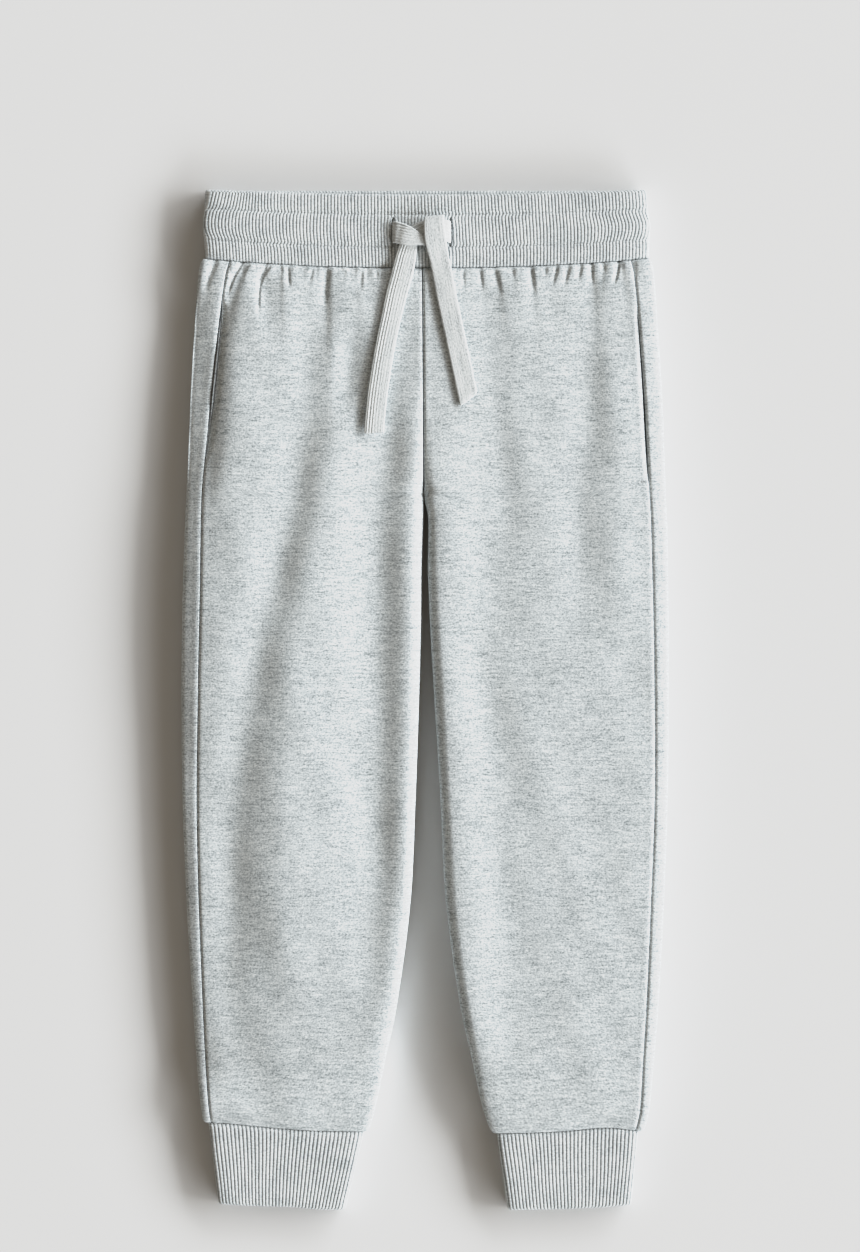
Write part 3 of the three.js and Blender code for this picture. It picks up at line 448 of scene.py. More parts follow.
def tape(side, trees):
    facts = drawstring[side]
    rows = route[side]
    points = rows[:, :3]
    at, t = alongRoute(points, drawstring["stations"] + 1)
    index = np.arange(len(rows))
    ground = []
    for (x, y, _), part in zip(at, t):
        angle, width = np.radians(np.interp(part, index, rows[:, 3])), np.interp(part, index, rows[:, 4])
        spots = [(x - math.sin(angle) * s * width, y + math.cos(angle) * s * width)
                 for s in (-0.5, -0.25, 0, 0.25, 0.5)]
        onBand = y > drawstring["knotEnd"]
        ground.append(bandTop if onBand else max(clothHeight(trees, *spot) for spot in spots))
    ground = np.array(ground)
    near = np.linalg.norm(at[:, None] - at[None], axis=2) < drawstring["settle"]
    highest = np.where(near, ground[None], -1).max(axis=1)
    level = (near * highest[None]).sum(axis=1) / near.sum(axis=1)
    path = (at + np.array([0, 0, 1]) * level[:, None]) * mm

    fine, t = alongRoute(points, drawstring["fine"])
    share = np.linspace(0, 1, drawstring["fine"])
    fine[:, 2] += np.interp(share, np.linspace(0, 1, len(level)), level)
    angle, width = np.radians(np.interp(t, index, rows[:, 3])), np.interp(t, index, rows[:, 4])
    across = np.stack([-np.sin(angle), np.cos(angle), 0 * angle], axis=1)
    ahead = np.gradient(fine, axis=0)
    ahead /= np.linalg.norm(ahead, axis=1)[:, None]
    up = np.cross(ahead, across)
    up /= np.linalg.norm(up, axis=1)[:, None]

    # the section: a flat loop with round edges, ridged on top
    half = drawstring["thickness"] / 2
    s = np.linspace(-1, 1, drawstring["acrossTop"])
    ends = np.linspace(0, np.pi, 7)[1:-1]
    back = np.linspace(1, -1, drawstring["acrossUnder"])
    top = [(k, 1, 0) for k in s]
    right = [(1, math.cos(a), math.sin(a)) for a in ends]
    under = [(k, -1, 0) for k in back]
    left = [(-1, -math.cos(a), -math.sin(a)) for a in ends]
    ring = np.array(top + right + under + left + top[:1])
    reach = width[:, None] / 2 - half
    sideways = ring[None, :, 0] * reach + ring[None, :, 2] * half
    ridges = np.cos(2 * np.pi * (sideways + width[:, None] / 2) / drawstring["ridge"])
    ridged = smooth(-0.1, 0.3, facts["ridgedSide"] * sideways / width[:, None] * 2)
    strength = drawstring["plainHeight"] + (drawstring["ridgeHeight"] - drawstring["plainHeight"]) * ridged
    bow = drawstring["bow"] * (1 - (sideways / (width[:, None] / 2)) ** 2)
    height = ring[None, :, 1] * half + np.where(ring[None, :, 1] >= 1, ridges * strength + bow, 0)
    slanted = smooth(drawstring["slantFrom"], 1, share)[:, None]
    frayed = smooth(drawstring["raggedFrom"], 1, share)[:, None]
    height *= 1 - drawstring["worn"] * frayed
    ragged = 0.3 * np.sin(sideways * 5) + 0.25 * np.sin(sideways * 11 + 1) + 0.35 * np.sin(sideways * 1.7 + 2)
    forward = slanted * facts["slant"] * sideways + frayed * ragged
    places = (fine[:, None] + across[:, None] * sideways[..., None] + up[:, None] * height[..., None]
              + ahead[:, None] * forward[..., None])
    run = np.concatenate([[0], np.cumsum(np.linalg.norm(np.diff(fine, axis=0), axis=1))])
    loop = np.concatenate([[0], np.cumsum(np.hypot(*np.diff(np.stack([sideways[0], height[0]]), axis=1)))])
    uv = np.stack(np.broadcast_arrays(loop[None] * mm, run[:, None] * mm), axis=2)
    piece = sheetOf("tape_" + side, places, uv, materials["tape"], closed=True)
    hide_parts("drawstring_" + side)
    print("tape", side, "length", round(float(np.linalg.norm(np.diff(path, axis=0), axis=1).sum()), 4))
    return piece


def treeOf(node):
    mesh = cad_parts[node].data
    return BVHTree.FromPolygons([v.co for v in mesh.vertices], [p.vertices for p in mesh.polygons])


underTape = [treeOf(node) for node in ("front_left", "front_right", "waistband")]
tapes = [tape(side, underTape) for side in ("left", "right")]


# The garment's form, laid flat: outline, bulk, folds and gathers

seamGap = 0.3
waistY, seamY = 310, 268
bandDip, seamDip, halfWaist = 3.3, 5.9, 137
clothThickness, bandWall, cuffWall, pocketWall = 1.6, 3, 2, 1.2

outline = table("y outerLeft innerLeft innerRight outerRight", [
    [264, -135.4, -1.6, -1.6, 137.2], [256, -137.2, -1.6, -1.6, 138.8], [225, -139.8, -1.4, -1.4, 141.2],
    [183, -142.2, -1.1, -1.1, 143.8], [146, -143.6, -0.9, -0.9, 145.2], [123, -144.6, -0.7, -0.7, 146.0],
    [111, -145.2, -0.8, 1.7, 146.6], [80, -146.4, -1.8, 1.6, 147.2], [45, -147.3, -2.2, 3.0, 147.6],
    [0, -147.6, -3.4, 5.6, 147.6], [-61, -147.0, -5.6, 9.3, 147.0], [-122, -144.6, -8.6, 12.6, 144.8],
    [-183, -140.9, -16.6, 20.8, 141.6], [-220, -138.4, -24.2, 28.8, 138.6],
    [-244, -136.2, -30.2, 35.4, 136.0], [-256, -134.6, -34.2, 40.2, 132.6],
])
bulk = table("y edge crown centre seamLeft seamRight", [
    [264, 5.4, 13.2, 1, 17.0, 12.5], [240, 5.8, 15.0, 1, 15.5, 12.0],
    [205, 6.2, 17.0, 0.99, 13.5, 11.5], [165, 6.4, 18.0, 0.97, 11.5, 11.0],
    [140, 6.4, 18.2, 0.92, 10.0, 10.5], [128, 6.4, 18.3, 0.7, 9.5, 10.3], [121, 6.4, 18.4, 0, 9.5, 10.2],
    [60, 6.4, 18.8, 0, 10.8, 9.6], [0, 6.4, 19.0, 0, 10.2, 8.8], [-61, 6.4, 19.0, 0, 8.8, 8.2],
    [-122, 6.2, 18.8, 0, 7.6, 8.2], [-183, 6.0, 18.2, 0, 6.2, 7.6], [-220, 5.8, 17.0, 0, 5.4, 6.8],
    [-244, 5.4, 14.6, 0, 5.0, 5.8], [-256, 4.8, 12.0, 0, 4.8, 5.0],
])
topRow, lastRow = 264, -256
hems = {
    "left": table("x y", [[-30, -262.1], [-64, -261.6], [-90, -259.9], [-120, -257.1], [-134, -256.5]]),
    "right": table("x y", [[134, -262.5], [124, -260.9], [110, -259.7], [81, -262], [44, -263.2],
                           [38, -262.7]]),
}
slits = {
    "left": {"top": 241, "bottom": 145, "gape": 2.2, "turn": 1.5, "turnWidth": 2.4, "lean": 1},
    "right": {"top": 236, "bottom": 132, "gape": 0.9, "turn": 0.9, "turnWidth": 1.3, "lean": 0.5},
}


# A ridge or trough down the cloth: height, widths to its left and right, fades, and (y, x) points
def fold(height, left, right, fadeTop, fadeBottom, *line):
    return {"height": height, "left": left, "right": right, "fadeTop": fadeTop, "fadeBottom": fadeBottom,
            "line": table("y x", line)}


# The outer edge of the left leg falls away
falls = [
    fold(-2.4, 20, 9, 30, 30, (262, -137), (225, -140.5), (122, -145), (0, -147.6), (-61, -147),
         (-122, -144.6), (-183, -141), (-244, -136)),
    fold(-3.6, 40, 22, 40, 120, (262, -136), (225, -140), (122, -145), (0, -147), (-61, -147)),
    fold(-7, 40, 44, 130, 30, (60, -146), (0, -147), (-61, -147), (-122, -144), (-183, -140), (-248, -134)),
]
folds = [
    # the left leg's trough and ridge beside the crotch and inseam
    fold(-3.4, 18, 14, 90, 120, (262, -17), (183, -24), (122, -29), (60, -31), (-60, -30), (-122, -33),
         (-190, -42)),
    fold(2.4, 11, 5, 70, 60, (215, -5), (122, -7.5), (60, -9), (-60, -11.5), (-122, -14.5), (-183, -22),
         (-236, -33)),
    # the long fold that crosses the left thigh
    fold(2.2, 14, 24, 60, 70, (258, -56), (183, -54), (122, -60), (60, -72), (0, -80), (-61, -84),
         (-122, -84), (-205, -78)),
    fold(-2.4, 13, 12, 30, 80, (262, -66), (225, -68), (183, -71), (122, -80), (60, -95), (0, -107),
         (-61, -115), (-122, -119), (-210, -120)),
    # beside the left slit
    fold(-3, 20, 8, 30, 40, (262, -113), (243, -120), (213, -126.5), (183, -129), (145, -132),
         (110, -134)),
    # the right leg
    fold(1.9, 5, 18, 60, 40, (200, 3.5), (122, 6), (60, 9), (-61, 16), (-122, 19.5), (-183, 27.5),
         (-236, 38)),
    fold(-1.6, 13, 16, 70, 50, (200, 26), (122, 37), (60, 36), (0, 38), (-61, 43), (-122, 46),
         (-183, 49), (-230, 55)),
    fold(-0.8, 8, 9, 15, 60, (262, 36), (225, 37), (183, 43), (122, 48), (60, 52)),
    fold(-1.3, 11, 10, 15, 60, (262, 97), (225, 98), (183, 99), (122, 93), (60, 92), (20, 94)),
    fold(1, 10, 12, 40, 60, (235, 112), (183, 115), (122, 118), (60, 115), (0, 117)),
]
# Narrow creases that run down from the waist seam, as they lie
creases = [
    fold(-0.66, 2.2, 0.83, 3, 8, (265, -125.4), (259, -128.2), (252, -130.9), (243, -133.5)),
    fold(-0.79, 2.1, 0.77, 2, 9, (265.5, -109.7), (260, -112.6), (254, -116), (245, -119.3), (241, -120.8)),
    fold(-0.42, 1.6, 0.58, 2, 5, (265, -105.2), (259, -108.6), (254, -110.4)),
    fold(-0.6, 1.6, 0.58, 2, 5, (265.5, -94.3), (260, -97.3), (254, -100.4), (250, -101)),
    fold(-0.66, 1.6, 0.58, 2, 9, (265.5, -91.6), (261, -94.6), (254, -98.9), (243, -100.6), (232, -100)),
    fold(-1.6, 5, 7, 12, 60, (262, -97), (245, -97), (228, -95), (200, -93)),
    fold(-0.31, 1.6, 0.58, 2, 4, (264, -86.9), (257, -86.2)),
    fold(-0.73, 1.5, 0.55, 2, 6, (264, -82.6), (256, -82.3), (249, -81.6)),
    fold(-0.48, 1.9, 0.71, 2, 6, (263.5, -67.4), (257, -69), (251, -70.3)),
    fold(-0.73, 2.8, 1, 3, 14, (263, -58.4), (256, -59), (248, -60), (236, -60.4)),
    fold(-0.42, 1.6, 0.58, 2, 6, (263, -48.3), (255, -48.4)),
    fold(-0.6, 2.5, 0.95, 3, 9, (263, -38.4), (256, -38.6), (247, -39)),
    fold(-0.48, 1.6, 0.58, 2, 6, (262.5, -28.7), (255, -28.9)),
    fold(-0.36, 1.7, 0.64, 2, 7, (262.5, 23), (256, 23.6), (250, 24)),
    fold(-0.48, 1.9, 0.71, 2, 8, (263, 33.5), (256, 34.4), (248, 35.4)),
    fold(-0.66, 2.4, 0.89, 3, 12, (263, 43), (255, 44.6), (243, 47)),
    fold(-0.48, 1.7, 0.64, 2, 6, (263, 53), (256, 54)),
    fold(-0.6, 2.2, 0.83, 3, 12, (263.5, 64.6), (255, 65.6), (243, 67)),
    fold(-0.55, 1.6, 0.58, 2, 6, (263.5, 73.6), (256, 73)),
    fold(-0.73, 1.6, 0.58, 2, 7, (264, 80.6), (257, 79), (250, 77)),
    fold(-0.6, 1.6, 0.58, 2, 7, (264, 88), (257, 86.4), (250, 84)),
    fold(-0.55, 1.6, 0.58, 2, 6, (264.5, 95.4), (258, 94), (252, 93)),
    fold(-0.55, 1.7, 0.64, 2, 8, (265, 101.6), (258, 101.4), (249, 102)),
    fold(-0.48, 1.5, 0.55, 2, 5, (264.5, 108.6), (256, 109.2)),
    fold(-0.9, 1.7, 0.64, 2, 6, (266, 118.3), (261, 117.5), (255.3, 116.4), (248.8, 114.3)),
    fold(-0.42, 1.6, 0.58, 2, 6, (266, 126.6), (259, 127.8), (251, 129)),
    fold(-2, 11, 8, 40, 35, (240, -42), (215, -45), (190, -48), (160, -51)),
]
gathers = [
    (-127, 1.5, 26, -7), (-120.5, 1.0, 12, -4), (-109, 2.0, 34, -12), (-97, 1.4, 14, -4),
    (-89, 1.2, 40, 1), (-81.5, 1.0, 12, -1), (-74, 1.4, 14, 0), (-66, 1.0, 10, 0), (-59.5, 1.8, 60, -1),
    (-51.5, 0.9, 10, 0), (-43.5, 1.5, 22, 1), (-34.5, 1.2, 16, 1), (-25.5, 1.0, 12, 1), (-15, 0.8, 14, 1),
    (14, 0.9, 14, 0), (24, 0.9, 12, 0), (32.5, 1.1, 14, 1), (42, 1.3, 30, 3), (52.5, 1.0, 14, 1),
    (64, 1.4, 34, 2), (73, 1.1, 12, 1), (80, 1.2, 12, -2), (87, 1.4, 14, -3), (94.5, 1.3, 12, -3),
    (101, 1.5, 30, 1), (109, 1.2, 14, -3), (118.5, 1.6, 20, 2), (127, 1.0, 14, 3),
]
gatherShape = {"deep": 0.5, "left": 3.4, "right": 1.8, "puff": 0.4, "puffLength": 22}


foldShare = 0.62  # of the folds' full height


dipPower = 2.2


# How far the waist seam dips at x, and the band's front at x on the line y
def dipAt(x):
    return seamDip * (1 - np.minimum(np.abs(x) / halfWaist, 1) ** dipPower)


def frontDip(x, y):
    share = (waistY - y) / (waistY - seamY)
    across = np.minimum(np.abs(x) / halfWaist, 1)
    return bandDip * (1 - across**2) * (1 - share) + dipAt(x) * share


def foldHeight(x, y, chosen):
    height = 0 * x
    for one in chosen:
        line = one["line"]
        if y > line["y"][0] or y < line["y"][-1]:
            continue
        away = x - read(line, y, "x")
        width = np.where(away < 0, one["left"], one["right"])
        fade = smooth(0, one["fadeTop"], line["y"][0] - y) * smooth(0, one["fadeBottom"], y - line["y"][-1])
        height += one["height"] * fade * bell(away, width)
    return height


def gatherHeight(x, y):
    below = max(topRow - y, 0)
    height = gatherShape["puff"] * math.exp(-below / gatherShape["puffLength"]) + 0 * x
    for place, depth, length, lean in gathers:
        along = below / length
        away = x - place - lean * min(along, 2)
        width = np.where(away < 0, gatherShape["left"], gatherShape["right"]) * (1 + min(along, 3))
        height -= depth * gatherShape["deep"] * math.exp(-along) * bell(away, width)
    return height


# Small uneven pulls between the stitches of the waist seam
pullPlaces = np.cumsum(3.1 + 1.2 * np.sin(np.arange(84) * 2.4) + 0.7 * np.sin(np.arange(84) * 5.1)) - 134
pullDepths = 0.2 + 0.11 * np.sin(np.arange(84) * 3.7)
pullLengths = 5 + 2.2 * np.sin(np.arange(84) * 1.9)


def pullHeight(x, y):
    below = max(topRow - y, 0)
    if below > 30:
        return 0 * x
    away = x[:, None] - pullPlaces[None]
    return -(pullDepths * np.exp(-below / pullLengths) * bell(away, 0.75)).sum(axis=1)


def softness(x, y):
    waves = 0.11 * np.sin(x / 7.3 + y / 31 + 1.2 * np.sin(y / 47)) + 0.1 * np.sin(x / 12.7 - y / 43 + 2)
    waves += 0.08 * np.sin(x / 5.1 + y / 13.7 + 4) + 0.07 * np.sin(x / 9.1 - y / 8.3)
    return waves


# One half of the body at height y, from the inner edge over the top, round the outer edge and back
def halfSection(side, y):
    name = side.capitalize()
    inner, outer = float(read(outline, y, "inner" + name)), float(read(outline, y, "outer" + name))
    width, outward = abs(outer - inner), math.copysign(1, outer - inner)
    edge, top = float(read(bulk, y, "edge")), float(read(bulk, y, "crown"))
    open = max(float(read(bulk, y, "centre")), 0)
    seamIn = float(read(bulk, y, "seam" + name))
    seamAngle = math.acos(((width - seamIn) / width * 2 - 1) ** (crownPower / 2))
    innerEdge = edge * (1 - float(smooth(0, 0.5, open)))
    half = width / 2
    front = [crown(half, half, edge, top, open, math.pi, seamAngle)]
    roll = [crown(half, half, edge, top, open, seamAngle, 0),
            arc(width - edge, edge, edge, 0, -math.pi / 2)]
    innerRoll = [arc(innerEdge, innerEdge, innerEdge, -math.pi / 2, -math.pi)]
    whole = Path(front + roll + innerRoll)
    innerLength = innerEdge * math.pi / 2
    return {
        "inner": inner + outward * seamGap / 2, "outward": outward, "top": top, "path": whole,
        "seam": Path(front).length, "rollEnd": Path(front + roll).length,
        "flatEnd": whole.length - max(innerLength, 3),
    }


def gape(side, y):
    slit = slits[side]
    share = (y - slit["bottom"]) / (slit["top"] - slit["bottom"])
    return slit["gape"] * math.sin(math.pi * share ** slit["lean"]) ** 0.7 if 0 < share < 1 else 0.0


# Points of a half section, lifted by the folds, moved in by depth, and bent to the waist and hem seams
def bodyPoints(section, side, y, distance, depth, folded=1.0, fine=True):
    px, pz, nx, nz = section["path"].at(distance)
    x = section["inner"] + section["outward"] * px
    lift = foldHeight(x, y, folds) * foldShare + gatherHeight(x, y)
    if fine:
        lift = lift + foldHeight(x, y, creases) + pullHeight(x, y) + softness(x, y)
    lift = lift * folded * smooth(0.05, 0.7, nz)
    edge = float(read(bulk, y, "edge"))
    above = np.clip((pz - edge) / (section["top"] - edge), 0, 1)
    lift += foldHeight(x, y, falls) * foldShare * folded * above
    waist = seamY - seamGap - topRow - dipAt(x) * smooth(0.15, 0.75, pz / section["top"])
    hem = read(hems[side], x, "y", "x") - lastRow
    bend = waist * smooth(-60, 0, y - topRow) + hem * smooth(-40, 0, lastRow - y)
    return np.stack([x - section["outward"] * nx * depth, y + bend, pz + lift - nz * depth], axis=-1)


closeness = 0.4  # how much closer the columns stand at both ends


def closerAtEnds(count):
    t = np.linspace(0, 1, count)
    return t - closeness * np.sin(2 * np.pi * t) / (2 * np.pi)


def steps(*stretches):
    parts = [np.arange(start, end, -size) for start, end, size in stretches]
    return np.concatenate(parts + [[stretches[-1][1]]])


seamTurn = {"depth": 0.65, "litDepth": 0.25, "width": 0.7, "ridge": 0.08, "ridgeAt": 2.4, "ridgeWidth": 1.7,
            "ends": 1.1, "endsWidth": 1.1}


# How far the cloth turns down where it is sewn: away is the distance from the seam
def turned(away, depth, width):
    ridge = bell(away - seamTurn["ridgeAt"], seamTurn["ridgeWidth"])
    return depth * bell(away, width) - seamTurn["ridge"] * ridge


def endTurn(y):
    width = seamTurn["endsWidth"]
    return seamTurn["ends"] * (bell(topRow - y, width) + bell(y - lastRow, width))


def frontPanel(side):
    rows = steps((topRow, 238, 0.75), (238, -236, 3.2), (-236, lastRow, 0.95))
    places, uv = [], []
    for y in rows:
        section = halfSection(side, y)
        ends = seamGap / 2, section["seam"] - seamGap / 2 - gape(side, y)
        distance = ends[0] + (ends[1] - ends[0]) * closerAtEnds(215)
        slit = slits[side]
        slitShare = smooth(0, 8, y - slit["bottom"]) * smooth(0, 5, slit["top"] - y)
        innerDepth, outerDepth = seamTurn["depth"], seamTurn["litDepth"]
        if side == "left":
            innerDepth, outerDepth = outerDepth, innerDepth
        depth = turned(distance - ends[0], innerDepth, seamTurn["width"])
        outerDepth += (slit["turn"] - outerDepth) * slitShare
        outerWidth = seamTurn["width"] + (slit["turnWidth"] - seamTurn["width"]) * slitShare
        depth += turned(ends[1] - distance, outerDepth, outerWidth)
        depth += endTurn(y)
        places.append(bodyPoints(section, side, y, distance, depth))
        uv.append(np.stack([distance * mm, 0 * distance + y * mm], axis=-1))
    piece = sheetOf("cloth_front_" + side, np.array(places), np.array(uv), materials["jersey"],
                    flip=side == "left")
    thicken(piece, clothThickness)
    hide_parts("front_" + side)
    return piece


def backPanel(side):
    rows = steps((topRow, 240, 1.0), (240, -238, 2.6), (-238, lastRow, 1.0))
    places, uv = [], []
    for y in rows:
        section = halfSection(side, y)
        start, end = section["seam"] + seamGap / 2, section["path"].length - seamGap / 2
        distance = np.concatenate([
            start + (section["rollEnd"] - start) * np.linspace(0, 1, 30)[:-1] ** 1.15,
            np.linspace(section["rollEnd"], section["flatEnd"], 24)[:-1],
            np.linspace(section["flatEnd"], end, 8),
        ])
        slit = slits[side]
        slitShare = smooth(0, 8, y - slit["bottom"]) * smooth(0, 5, slit["top"] - y)
        seamDepth = seamTurn["litDepth" if side == "left" else "depth"]
        depth = turned(distance - start, seamDepth + 0.15 * slitShare, seamTurn["width"])
        depth += endTurn(y) * smooth(-0.9, -0.2, section["path"].at(distance)[3])
        places.append(bodyPoints(section, side, y, distance, depth))
        uv.append(np.stack([distance * mm + 0.4, 0 * distance + y * mm], axis=-1))
    piece = sheetOf("cloth_back_" + side, np.array(places), np.array(uv), materials["jersey"],
                    flip=side == "left")
    thicken(piece, clothThickness)
    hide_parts("back_" + side)
    return piece


pocket = {
    "rows": table("y reach", [[250, 50], [240, 62], [226, 70], [205, 76], [180, 77], [155, 74], [138, 68],
                              [123, 56], [111, 40]]),
    "drop": 3.4, "gatherRoom": 2.4, "gatherReach": 60, "welt": 2.6, "weltWidth": 0.45,
}


def pocketBag(side):
    places, uv = [], []
    for y in np.linspace(250, 111, 90):
        section = halfSection(side, y)
        reach = float(read(pocket["rows"], y, "reach"))
        share = np.concatenate([np.linspace(-1, -0.1, 24)[:-1], np.linspace(-0.1, 0.06, 44)])
        drop = pocket["drop"] + pocket["gatherRoom"] * math.exp((y - topRow) / pocket["gatherReach"])
        sewn = smooth(-0.36, -0.14, share) * smooth(-160, -140, -y)
        distance = section["seam"] + share * reach
        depth = clothThickness + drop + (seamGap * 1.8 - drop) * sewn
        if side == "left":
            welt = section["seam"] - 0.55 * gape(side, y)
            shown = smooth(160, 185, y) * smooth(232, 226, y)
            depth = depth - pocket["welt"] * shown * bell(distance - welt, pocket["weltWidth"])
        places.append(bodyPoints(section, side, y, distance, depth, sewn, fine=False))
        uv.append(np.stack([distance * mm, 0 * distance + y * mm], axis=-1))
    piece = sheetOf("bag_" + side, np.array(places), np.array(uv), materials["pocketing"],
                    flip=side == "left")
    thicken(piece, pocketWall)
    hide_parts("pocket_" + side)
    return piece


panels = {}
for side in ("left", "right"):
    panels[side] = [frontPanel(side), backPanel(side), pocketBag(side)]
    print("panels", side, [triangles(piece) for piece in panels[side]])


# Waistband and cuffs: ribbed tubes, folded double, with ribs all round

band = {
    "sections": table("y x0 x1 edge crown", [
        [310, -133.2, 134.0, 5.2, 12.6], [308.6, -133.4, 134.4, 5.2, 12.7],
        [298.4, -133.9, 135.4, 5.3, 12.8], [289, -134.9, 136.6, 5.4, 13.0],
        [279.8, -134.2, 136.6, 5.4, 13.0], [268, -133.2, 136.2, 5.4, 13.0],
    ]),
    "rib": 2.05, "ribDepth": 0.28, "wall": bandWall,
    "stitched": [298.4, 279.8], "groove": 0.4, "grooveWidth": 0.8, "puff": 0.45,
    "lean": table("y left right middle", [
        [310, 3.6, 0.3, 0.0], [300.4, 1.7, 0.2, 0.1], [298.4, 0.7, -0.3, 0.5], [296.6, 0.1, -0.7, -0.2],
        [289, -0.2, 0.5, 0.0], [284, 0.3, 0.0, 0.1], [280.9, 1.2, -1.0, 0.4], [279.0, 1.6, -1.3, -0.3],
        [277, 1.6, -1.3, 0.0], [268, 1.5, -1.2, 0.0],
    ]),
}
buttonholes = {"x": (-19.5, 15.5), "y": 283.5, "length": 15.6, "width": 2.8, "depth": 2.2, "bow": 7.5}
cuffs = {
    "left": table("share x0 x1 edge crown", [
        [0, -131.8, -37.0, 4.8, 11.6], [0.08, -130.8, -38.0, 4.8, 11.9], [0.96, -125.6, -48.0, 4.4, 10.2],
        [1, -125.0, -48.6, 3.8, 9.6],
    ][::-1]),
    "right": table("share x0 x1 edge crown", [
        [0, 43.6, 129.8, 4.8, 11.6], [0.08, 44.2, 129.2, 4.8, 11.9], [0.96, 50.0, 125.4, 4.4, 10.2],
        [1, 50.6, 124.8, 3.8, 9.6],
    ][::-1]),
    "ends": {
        "left": table("x y", [[-46, -310], [-67, -309.5], [-81, -308.2], [-107, -307.4], [-126, -306.4]]),
        "right": table("x y", [[126, -307.2], [107, -308.4], [81, -309.4], [50, -310]]),
    },
    "rib": 2.3, "ribDepth": 0.33, "wall": cuffWall, "puff": 0.35,
}


def tubeSection(x0, x1, edge, top, inset):
    left, right, radius = x0 + inset, x1 - inset, edge - inset
    middle = (left + right) / 2
    return Path([
        (np.array([middle]), np.array([inset])),
        arc(left + radius, edge, radius, -math.pi / 2, -math.pi),
        crown(middle, (right - left) / 2, edge, top - inset, 0, math.pi, 0),
        arc(right - radius, edge, radius, 0, -math.pi / 2),
        (np.array([middle]), np.array([inset])),
    ])


# Places round a tube, as numbers of ribs: many to a rib where it shows, few on the underside
def ribPlaces(x0, x1, edge, top, pitch, shown, hidden):
    length = tubeSection(x0, x1, edge, top, 0).length
    ribs = round(length / pitch)
    plain = ((x1 - x0) / 2 - edge) / length * ribs
    places = []
    for rib in range(ribs):
        count = shown if plain < rib + 0.5 < ribs - plain else hidden
        places += [rib + k / count for k in range(count)]
    return np.array(places + [ribs]), ribs


# rows: (key, inset, swell) from the sewn edge over the far end and back inside
def ribbedTube(name, sectionAt, rows, facts, placeY, lean, hole, uvLength):
    widest = sectionAt(rows[len(rows) // 4][0])
    ribs, count = ribPlaces(*widest, facts["rib"], facts["shown"], facts["hidden"])
    phase = ribs - np.floor(ribs)
    high = 1 - np.abs(2 * phase - 1) ** 3
    places, uv, run, last = [], [], 0, None
    for key, inset, swell, outside in rows:
        section = sectionAt(key)
        path = tubeSection(*section, inset)
        t = ribs / count
        x, z, nx, nz = path.at(t * path.length)
        onTop = smooth(0.3, 0.9, nz)
        t = np.clip(t + lean(x, key) * onTop * outside / path.length, 0, 1)
        x, z, nx, nz = path.at(t * path.length)
        out = (high - 1) * facts["ribDepth"] * (0.35 + 0.65 * outside) + swell * onTop
        x, out = hole(x, out, key, onTop * outside)
        y = placeY(x, z, key, section[3])
        places.append(np.stack([x + nx * out, y, z + nz * out], axis=-1))
        if last is not None:
            run += np.median(np.hypot(places[-1][:, 1] - last[:, 1], (places[-1][:, 2] - last[:, 2])))
        last = places[-1]
        uv.append(np.stack([ribs, 0 * ribs + (run + uvLength) * mm], axis=-1))
    places.append(places[0])
    uv.append(np.stack([ribs, 0 * ribs + (run + 3 + uvLength) * mm], axis=-1))
    return sheetOf(name, np.array(places), np.array(uv), materials["rib"], closed=True)


def foldRows(far, direction, wall, insideRows, sewn):
    radius = wall / 2
    angle = np.linspace(0, math.pi, 9)[1:]
    turn = [(far - direction * radius * (1 - math.sin(a)), radius * (1 - math.cos(a)), 0, 0.5)
            for a in angle]
    inside = [(key, wall, 0, 0) for key in np.linspace(far - direction * radius, sewn, insideRows)[1:]]
    return turn + inside + [(sewn, wall * 0.5, 0, 0)]


def waistband():
    shown = np.concatenate([np.arange(268, 276, 0.75), np.arange(276, 283, 0.6), np.arange(283, 295, 0.95),
                            np.arange(295, 301, 0.6), np.arange(301, 308.4, 0.95), [308.5]])
    rows = []
    for y in shown:
        channels = [268] + band["stitched"][::-1] + [310]
        k = min(np.searchsorted(channels, y, side="right") - 1, 2)
        share = (y - channels[k]) / (channels[k + 1] - channels[k])
        swell = band["puff"] * max(math.sin(math.pi * share), 0) ** 0.5 * (1, 1.1, 0.75)[k]
        groove = sum(band["groove"] * float(bell(y - line, band["grooveWidth"])) for line in band["stitched"])
        rows.append((y, 0, swell - groove - 0.95 * float(bell(y - 268, 0.9)), 1))
    rows += foldRows(waistY, 1, band["wall"], 8, 268)

    def sectionAt(y):
        return tuple(float(read(band["sections"], y, column)) for column in ("x0", "x1", "edge", "crown"))

    def placeY(x, z, y, top):
        return y - smooth(0.15, 0.75, z / top) * frontDip(x, y)

    def lean(x, y):
        left, right = smooth(-92, -126, x) * read(band["lean"], y, "left"), smooth(84, 126, x)
        middle = read(band["lean"], y, "middle") * (0.7 + 0.5 * np.sin(x / 19) + 0.4 * np.sin(x / 7.7 + 1))
        return left + right * read(band["lean"], y, "right") + middle

    def hole(x, out, y, shown):
        for place in buttonholes["x"]:
            away = np.abs(x - place)
            along = abs(y - frontDip(place, y) - buttonholes["y"]) / (buttonholes["length"] / 2 + 1.2)
            open = buttonholes["width"] / 2 * math.sqrt(max(1 - along**2.6, 0))
            near = np.interp(away, [0, 0.25, 0.62, buttonholes["bow"]],
                             [0, 0.8 * open, 1.0 * open + 0.05, buttonholes["bow"]])
            moved = np.maximum(away, near)
            inside = (1 - smooth(0.8, 1.0, moved / max(open, 0.01))) if open > 0.25 else 0 * x
            x = np.where((away < buttonholes["bow"]) & (shown > 0.5),
                         place + np.sign(x - place) * moved, x)
            out = out - inside * buttonholes["depth"] * shown
        return x, out

    facts = {**band, "shown": 6, "hidden": 2}
    piece = ribbedTube("ribbed_waistband", sectionAt, rows, facts, placeY, lean, hole, 0)
    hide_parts("waistband")
    return piece


